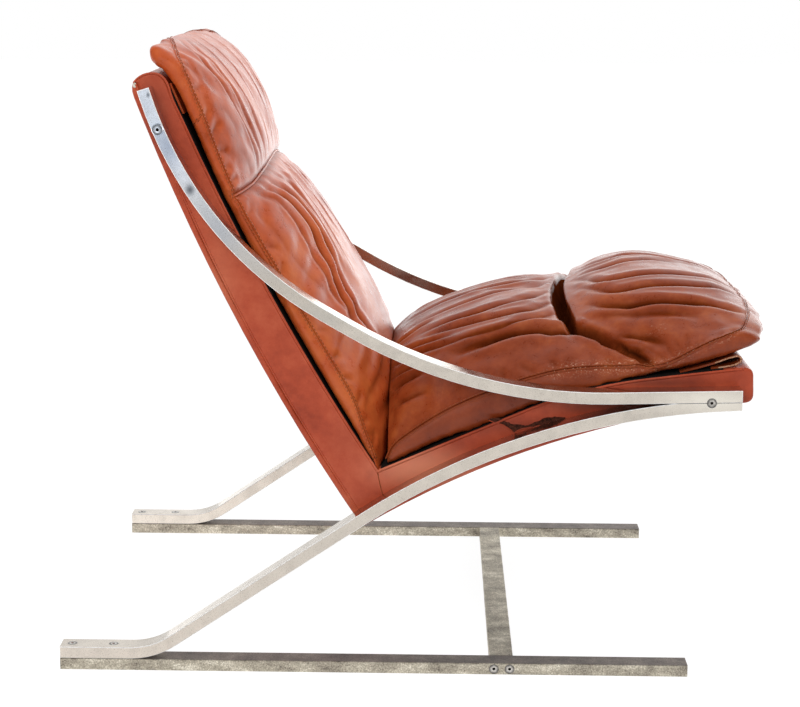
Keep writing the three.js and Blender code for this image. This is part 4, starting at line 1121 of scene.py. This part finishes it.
def add_stitches(name, points, body):
    """Row of stitches along a line."""
    curve = bpy.data.curves.new(name, "CURVE")
    curve.dimensions = "3D"
    spline = curve.splines.new("POLY")
    spline.points.add(len(points) - 1)
    weighted = np.column_stack([points, np.ones(len(points))])
    spline.points.foreach_set("co", weighted.astype(np.float32).ravel())
    holder = linked(name, curve)
    nodes = holder.modifiers.new("stitches", "NODES")
    nodes.node_group = stitch_tree()
    sockets = {item.name: item.identifier for item in nodes.node_group.interface.items_tree}
    given = {"Pitch": 0.0052, "Thickness": 0.00055, "Length": 0.0020, "Thread": MATERIALS["thread"]}
    for label, value in given.items():
        nodes[sockets[label]] = value
    mesh = evaluated_mesh(holder)
    bpy.data.objects.remove(holder)
    bpy.data.curves.remove(curve)
    return new_object(name, mesh, "thread", body)


def add_seam(name, tree, line, key, body, scale=1.0):
    """Lapped seam that follows a line on a cover, with its two rows of stitches."""
    points, normals = laid_on(tree, even_line(line, 0.004))
    across = unit(np.cross(normals, unit(np.gradient(points, axis=0))))
    across, normals = across * scale / 1000, normals * scale / 1000
    mesh = swept(name, np.stack([points + across * a + normals * b for a, b, _ in SEAM_PROFILE], 1))
    # Painted shade in the seam's groove, from the last column of the profile
    set_values(mesh, "recess_shade", np.tile([groove_shade for _, _, groove_shade in SEAM_PROFILE], len(points)))
    new_object(name, mesh, key, body)
    for tag, side in (("a", -2.2), ("b", 2.3)):
        add_stitches(f"{name}_stitches_{tag}", points + across * side + normals * 0.7, body)


def upright(places, y, step):
    """Even line through (X, Z) places on an upright plane."""
    places = np.asarray(places)
    return even_line(np.stack([places[:, 0], np.full(len(places), y), places[:, 1]], -1), step)


def add_tube(name, line, radius, key, body=CHAIR):
    return new_object(name, tube(name, line, radius), key, body)


def add_welt(name, places, y, radius):
    """Piping along an edge of the shell."""
    line = upright(places, y, 0.005)
    smooth_line(line, 2)
    add_tube(name, line, radius, "shell")


def add_flat(name, rows, key):
    """Thin flat piece of cloth or leather on the shell."""
    mesh = edited(swept(name, rows), lambda edit: bmesh.ops.triangulate(edit, faces=edit.faces))
    new_object(name, mesh, key, CHAIR).data.shade_flat()


def add_gap_shade(name, form, start, end):
    """Black sheet on the face of the shell that a cushion covers: painted shade in the gap under the cushion.
    """
    distances = np.linspace(start, end, 60)
    low, high = (form.locate(distances, np.full(60, form.side * height)) for height in (-0.0003, 0.0005))
    corners = ((low, -1), (low, 1), (high, 1), (high, -1))
    rows = [np.stack([flat[:, 0], np.full(60, y * GAP_SHADE_HALF_WIDTH), flat[:, 1]], -1) for flat, y in corners]
    new_object(name, swept(name, np.stack(rows, 1)), "black", CHAIR).data.shade_flat()


def add_patch(name, outline, key):
    """Thin flat patch on the right face of the shell."""
    y = -SHELL_HALF_WIDTH
    rows = [[(x, y + shift, z) for x, z in outline] for shift in (-0.0004, 0.0004)]
    add_flat(name, np.array(rows), key)


def ragged(outline, parts, jitter):
    """Closed outline with its sides split and its points moved at random."""
    random = np.random.default_rng(3)
    ends = np.array(outline)
    shares = np.arange(parts)[None, :, None] / parts
    points = (ends[:, None] + (np.roll(ends, -1, 0) - ends)[:, None] * shares).reshape(-1, 2)
    return points + random.uniform(-jitter, jitter, points.shape)


# Settings
def colour_property(name, description, code):
    return bpy.props.FloatVectorProperty(
        name=name, description=description, subtype="COLOR", default=linear(code)[:3], min=0, max=1
    )


def length_property(name, description, default):
    return bpy.props.FloatProperty(name=name, description=description, default=default, unit="LENGTH")


class LOUNGE_PG_steel(bpy.types.PropertyGroup):
    chrome: colour_property("Chrome", "Colour of the chromed bars", 0xD3CBC0)
    pits: colour_property("Pits", "Colour in the pits of the plating", 0x9C9183)
    # Painted reflection: the bluish white of the arms near their top ends
    upper_reflection: colour_property("Painted reflection", "Colour of the arms near their top ends", 0xE4ECF8)
    softening: length_property("Edge softening", "Width of the bars' softened edges", 0.0009)


class LOUNGE_PG_leather(bpy.types.PropertyGroup):
    back: colour_property("Back", "Body colour of the back cushion", 0xB85024)
    back_pale: colour_property("Back, pale", "Where its cover is stretched", 0xCC6832)
    back_dark: colour_property("Back, dark", "Where its cover is unworn", 0x9A3C14)
    seat: colour_property("Seat", "Body colour of the seat cushion", 0x8E3D1B)
    seat_pale: colour_property("Seat, pale", "Where its cover is stretched", 0xAA5629)
    seat_dark: colour_property("Seat, dark", "Where its cover is unworn", 0x742C0F)
    shell: colour_property("Shell", "Body colour of the shell", 0xAE4628)
    shell_pale: colour_property("Shell, pale", "Paler areas of the shell", 0xC05C3C)
    shell_dark: colour_property("Shell, dark", "Darker areas of the shell", 0x913216)


class LOUNGE_PG_cushions(bpy.types.PropertyGroup):
    voxel: length_property("Voxel", "Mesh size of the simulated covers", 0.006)
    pressure: bpy.props.FloatProperty(name="Pressure", description="Pressure inside the covers", default=4.0)
    slack: bpy.props.FloatProperty(
        name="Slack", description="Share cut off the covers, or added if below zero", default=-0.06
    )
    frames: bpy.props.IntProperty(name="Frames", description="Frames of each simulation", default=20)
    reach: length_property("Reach", "How far the simulation may move a point", 0.0024)


class LOUNGE_PG_settings(bpy.types.PropertyGroup):
    steel: bpy.props.PointerProperty(type=LOUNGE_PG_steel)
    leather: bpy.props.PointerProperty(type=LOUNGE_PG_leather)
    cushions: bpy.props.PointerProperty(type=LOUNGE_PG_cushions)


# Stage
def add_camera(scene):
    """Camera at the height and the angle that show the chair's right side from a little in front."""
    camera = bpy.data.cameras.new("camera")
    camera.lens = 85.71
    camera.sensor_width = 36
    camera.clip_start = 0.1
    camera.clip_end = 60
    pitch, yaw, roll = CAMERA_TURN
    ahead = Vector((math.sin(yaw) * math.cos(pitch), math.cos(yaw) * math.cos(pitch), -math.sin(pitch)))
    right = Vector((math.cos(yaw), -math.sin(yaw), 0))
    up = right.cross(ahead)
    x_axis = right * math.cos(roll) + up * math.sin(roll)
    y_axis = up * math.cos(roll) - right * math.sin(roll)
    turn = Matrix((x_axis, y_axis, -ahead)).transposed().to_4x4()
    scene.camera = linked("camera", camera)
    scene.camera.matrix_world = Matrix.Translation(CAMERA_PLACE) @ turn


def add_area_light(name, place, target, size, power, glossy=False):
    """Rectangular lamp. One that is not glossy lights the chair without a reflection on it."""
    lamp = bpy.data.lights.new(name, "AREA")
    lamp.shape = "RECTANGLE"
    lamp.size, lamp.size_y = size
    lamp.energy = power
    holder = linked(name, lamp)
    aim = (Vector(target) - Vector(place)).to_track_quat("-Z", "Y")
    holder.matrix_world = Matrix.LocRotScale(Vector(place), aim, None)
    holder.visible_glossy = glossy


def studio_world():
    """World: white to the camera, a soft grey room to the chair, and two bright panels to its gloss."""
    world = bpy.data.worlds.new("studio")
    world.use_nodes = True
    world.node_tree.nodes.clear()
    add = partial(add_node, world.node_tree)
    way_out = add("TexCoord").outputs["Generated"]
    _, y, z = add("SeparateXYZ", (way_out,)).outputs
    tone, facing = (
        add("ValToRGB", (add("MapRange", (value, -1, 1)),), [(place, grey(level)) for place, level in levels])
        for value, levels in (
            (z, ((0.0, 0.45), (0.47, 0.75), (0.60, 1.0), (1.0, 0.8))),
            (y, ((0.0, 0.85), (0.06, 0.7), (0.2, 0.2), (0.48, 0.26), (0.66, 0.8), (1.0, 1.0))),
        )
    )
    mirror = add("Mix", (1, tone, facing), data_type="RGBA", blend_type="MULTIPLY")
    ceiling_panel = add("MapRange", (z, 0.972, 0.982))
    toward_panel = add("VectorMath", (way_out, (0.60, 0.78, 0.16)), operation="DOT_PRODUCT")
    wall_panel = add("MapRange", (toward_panel, 0.62, 0.88))
    wall_strength = add("MapRange", (z, -0.02, 0.3, 2.4, 0.5))
    panels = add("Math", (wall_panel, wall_strength, ceiling_panel), operation="MULTIPLY_ADD")
    room = add("Background", (tone, 0.58))
    glossy_room = add("Background", (mirror, add("Math", (panels, 1))))
    path = add("LightPath")
    lit = add("MixShader", (path.outputs["Is Glossy Ray"], room, glossy_room))
    whole = add("MixShader", (path.outputs["Is Camera Ray"], lit, add("Background", (WHITE, 1))))
    add("OutputWorld", (whole,))
    return world


def floor_material():
    """Pale studio floor: nearly white to the camera, so that the chair keeps a faint shadow on it."""
    material, add, where = start_material("pale_studio_floor")
    paint = add("BsdfPrincipled", {"Base Color": grey(0.86), "Roughness": 0.9})
    path = add("LightPath")
    glossy = path.outputs["Is Glossy Ray"]
    glow = add("Emission", (WHITE, add("Math", (glossy, 1.6, 1.2), operation="MULTIPLY_ADD")))
    y = add("SeparateXYZ", (where,)).outputs["Y"]
    behind = add("MapRange", (y, -0.8, 2.0, 0.06, 0.9))
    before = add("MapRange", (y, -3.5, -6.0, 0.0, 0.17))
    in_gloss = add("Math", (glossy, add("Math", (behind, before))), operation="MULTIPLY")
    share = add("Math", (path.outputs["Is Camera Ray"], 0.78, in_gloss), operation="MULTIPLY_ADD")
    add("OutputMaterial", (add("MixShader", (share, paint, glow)),))
    return material


class LOUNGE_OT_stage(bpy.types.Operator):
    """Adds the camera, the floor, the world and the lamps"""

    bl_idname = "lounge.stage"
    bl_label = "Stage"

    def execute(self, context):
        context.scene.view_settings.view_transform = "Standard"
        add_camera(context.scene)
        context.scene.world = studio_world()
        reach = 14
        mesh = bpy.data.meshes.new("floor")
        corners = [(x * reach, y * reach, 0) for x, y in ((-1, -1), (1, -1), (1, 1), (-1, 1))]
        mesh.from_pydata(corners, [], [(0, 1, 2, 3)])
        mesh.materials.append(floor_material())
        floor = linked("floor", mesh)
        front, aim = (-0.9, -2.6, 1.7), (0, 0, 0.45)
        add_area_light("top_light", (0.1, -0.2, 2.6), (0, 0, 0.4), (2.4, 2.0), 21)
        add_area_light("front_light", front, aim, (1.4, 1.2), 5, glossy=True)
        add_area_light("front_fill", front, aim, (1.2, 1.0), 26)
        add_area_light("right_light", (2.2, 0.3, 1.6), (0.1, 0, 0.5), (1.4, 1.6), 6)
        return {"FINISHED"}


class LOUNGE_OT_steel(bpy.types.Operator):
    """Dresses the legs, the arms and the base"""

    bl_idname = "lounge.steel"
    bl_label = "Steel bars"

    def execute(self, context):
        softening = context.scene.lounge_chair.steel.softening
        for side in SIDES:
            for part in ("leg", "arm"):
                piece = dress_node(f"{part}_{side}", f"{part}_bar_{side}", "chrome", CHAIR, softening)
            dress_node(f"base_rail_{side}", f"floor_rail_{side}", "dull", CHAIR, softening)
        dress_node("base_crossbar", "cross_rail", "dull", CHAIR, softening)
        for name, node in list(NODES.items()):
            if "screw" in name:
                dress_screw(name)
            elif "washer" in name or "nut" in name:
                put_material(node, "screw")
        return {"FINISHED"}


class LOUNGE_OT_shell(bpy.types.Operator):
    """Dresses the shell's covers and its inner frame"""

    bl_idname = "lounge.shell"
    bl_label = "Shell"

    def execute(self, context):
        for node in ("outer_back", "back_cover", "seat_cover"):
            dress_node(node, f"{node}_leather", "shell", CHAIR, 0)
        dress_node("underside_cloth", "underside_lining", "black", CHAIR, 0)
        # Black sheets under the cushions: painted shade in the gaps
        add_gap_shade("seat_gap_shade", SEAT_FORM, 0.004, 0.455)
        add_gap_shade("back_gap_shade", BACK_FORM, 0.004, 0.540)
        seat = np.vstack([seat_path()[:-1], [0.294, 0.3947]])
        back = back_path()
        back = np.vstack([back[back[:, 1] < 0.715], SHELL_TOP])
        welts = (
            ("seat", seat, 0.0017),
            ("back", back, 0.0013),
            ("rear", REAR_EDGE, 0.0015),
            ("mitre", MITRE, 0.0010),
        )
        for side, y in SIDES.items():
            for part, places, radius in welts:
                add_welt(f"{part}_welt_{side}", places, y * (SHELL_HALF_WIDTH - 0.0007), radius)
            beside = upright(np.array(MITRE) + [0.0010, 0], y * (SHELL_HALF_WIDTH + 0.0001), 0.004)
            add_tube(f"mitre_seam_{side}", beside, 0.0005, "thread")
            add_tube(f"flap_raw_edge_{side}", upright(FLAP_EDGE, y * FLAP_HALF_WIDTH, 0.002), 0.0011, "raw")
        # The tear: torn flesh of the hide, dark as painted shade of the hole behind it
        add_patch("tear_flesh_and_hole_shade", ragged(TEAR, 4, 0.0011), "torn")
        lower_edge = ragged(TEAR, 4, 0.0007)[32:]
        add_tube("tear_lip", upright(lower_edge, -SHELL_HALF_WIDTH, 0.002), 0.0008, "shell")
        add_patch("nick_fleece", NICK, "felt")
        for name, node in NODES.items():
            if name.endswith("_rail") or name.startswith("cheek"):
                put_material(node, "wood")
            elif name.endswith("_pad"):
                put_material(node, "felt")
            elif "_strap_" in name:
                put_material(node, "webbing")
        return {"FINISHED"}


class LOUNGE_OT_back_cushion(bpy.types.Operator):
    """Makes the back cushion with its headrest"""

    bl_idname = "lounge.back_cushion"
    bl_label = "Back cushion"

    def execute(self, context):
        random = np.random.default_rng(7)
        folds = [*folds_of(HEAD_FOLDS, 0.62), *folds_of(LOIN_FOLDS, 0.68, 0.9, 4.0)]
        for side in (-1, 1):
            folds += puckers(1.2, 10.0, side, random, 0.42, 0.08)
        creases = ((HEAD_CREASE, 0.006, 0.0050, 0),)
        wear = [([(8.4, -1.0), (9.6, -0.97)], 0.006, 0.5)]
        settings = context.scene.lounge_chair.cushions
        tree = make_cushion(BACK_FORM, "back_cushion", BACK, "back", settings, creases, folds, wear)
        add_seam("back_side_seam", tree, BACK_FORM.line(BACK_SEAM, 400), "back", BACK)
        add_tube("headrest_piping", BACK_FORM.sunk(HEAD_CREASE, 0.0045, 120), 0.0017, "back", BACK)
        for side, y in SIDES.items():
            ends = BACK_FORM.places([7.98, 15.0], [y, y])
            line = ends[:1] + (ends[1:] - ends[:1]) * np.linspace(0, 1, 12)[:, None] + [0, y * 0.004, 0]
            add_seam(f"back_border_seam_{side}", tree, line, "back", BACK, 0.7)
        put_material(NODES["back_flap"], "back")
        return {"FINISHED"}


class LOUNGE_OT_seat_cushion(bpy.types.Operator):
    """Makes the seat cushion with its front roll"""

    bl_idname = "lounge.seat_cushion"
    bl_label = "Seat cushion"

    def execute(self, context):
        random = np.random.default_rng(11)
        folds = [*folds_of(SEAT_FOLDS, 0.74, 1, 6.5)]
        for side in (-1, 1):
            folds += puckers(9.9, 12.0, side, random, 0.34, 0.06)
            folds += puckers(6.0, 9.2, side, random, 0.34, 0.08)
        creases = ((SEAT_GROOVE, 0.032, 0.0068, 0.55),)
        wear = [
            ([(9.3, -1.0), (10.2, -1.0), (10.9, -1.0)], 0.008, 1.0),
            ([(9.2, -1.0), (7.8, -1.0), (6.2, -1.0)], 0.006, 0.8),
            ([(5.7, -0.9), (5.75, -0.3)], 0.005, 0.4),
            ([(8.6, -0.86), (8.3, -0.87)], 0.006, 0.5),
        ]
        settings = context.scene.lounge_chair.cushions
        tree = make_cushion(SEAT_FORM, "seat_cushion", SEAT, "seat", settings, creases, folds, wear)
        for side, y in SIDES.items():
            line = SEAT_FORM.line([(k, y) for k, _ in SEAT_SEAM_REAR], 200)
            add_seam(f"seat_side_seam_{side}", tree, line, "seat", SEAT)
        add_seam("seat_front_seam", tree, SEAT_FORM.line(SEAT_SEAM_FRONT, 300), "seat", SEAT)
        put_material(NODES["seat_flap"], "seat")
        return {"FINISHED"}


OPERATORS = (
    LOUNGE_OT_stage,
    LOUNGE_OT_steel,
    LOUNGE_OT_shell,
    LOUNGE_OT_back_cushion,
    LOUNGE_OT_seat_cushion,
)


class LOUNGE_PT_panel(bpy.types.Panel):
    """Lists the steps that dress the chair"""

    bl_label = "Lounge Chair"
    bl_idname = "LOUNGE_PT_panel"
    bl_space_type = "VIEW_3D"
    bl_region_type = "UI"
    bl_category = "Lounge Chair"

    def draw(self, context):
        for operator in OPERATORS:
            self.layout.operator(operator.bl_idname)


CLASSES = (
    LOUNGE_PG_steel,
    LOUNGE_PG_leather,
    LOUNGE_PG_cushions,
    LOUNGE_PG_settings,
    *OPERATORS,
    LOUNGE_PT_panel,
)


def register():
    for item in CLASSES:
        bpy.utils.register_class(item)
    bpy.types.Scene.lounge_chair = bpy.props.PointerProperty(type=LOUNGE_PG_settings)


def unregister():
    del bpy.types.Scene.lounge_chair
    for item in reversed(CLASSES):
        bpy.utils.unregister_class(item)


def main():
    register()
    make_materials(bpy.context.scene.lounge_chair)
    bpy.ops.lounge.stage()
    bpy.ops.lounge.steel()
    bpy.ops.lounge.shell()
    bpy.ops.lounge.back_cushion()
    bpy.ops.lounge.seat_cushion()


if __name__ == "__main__":
    main()
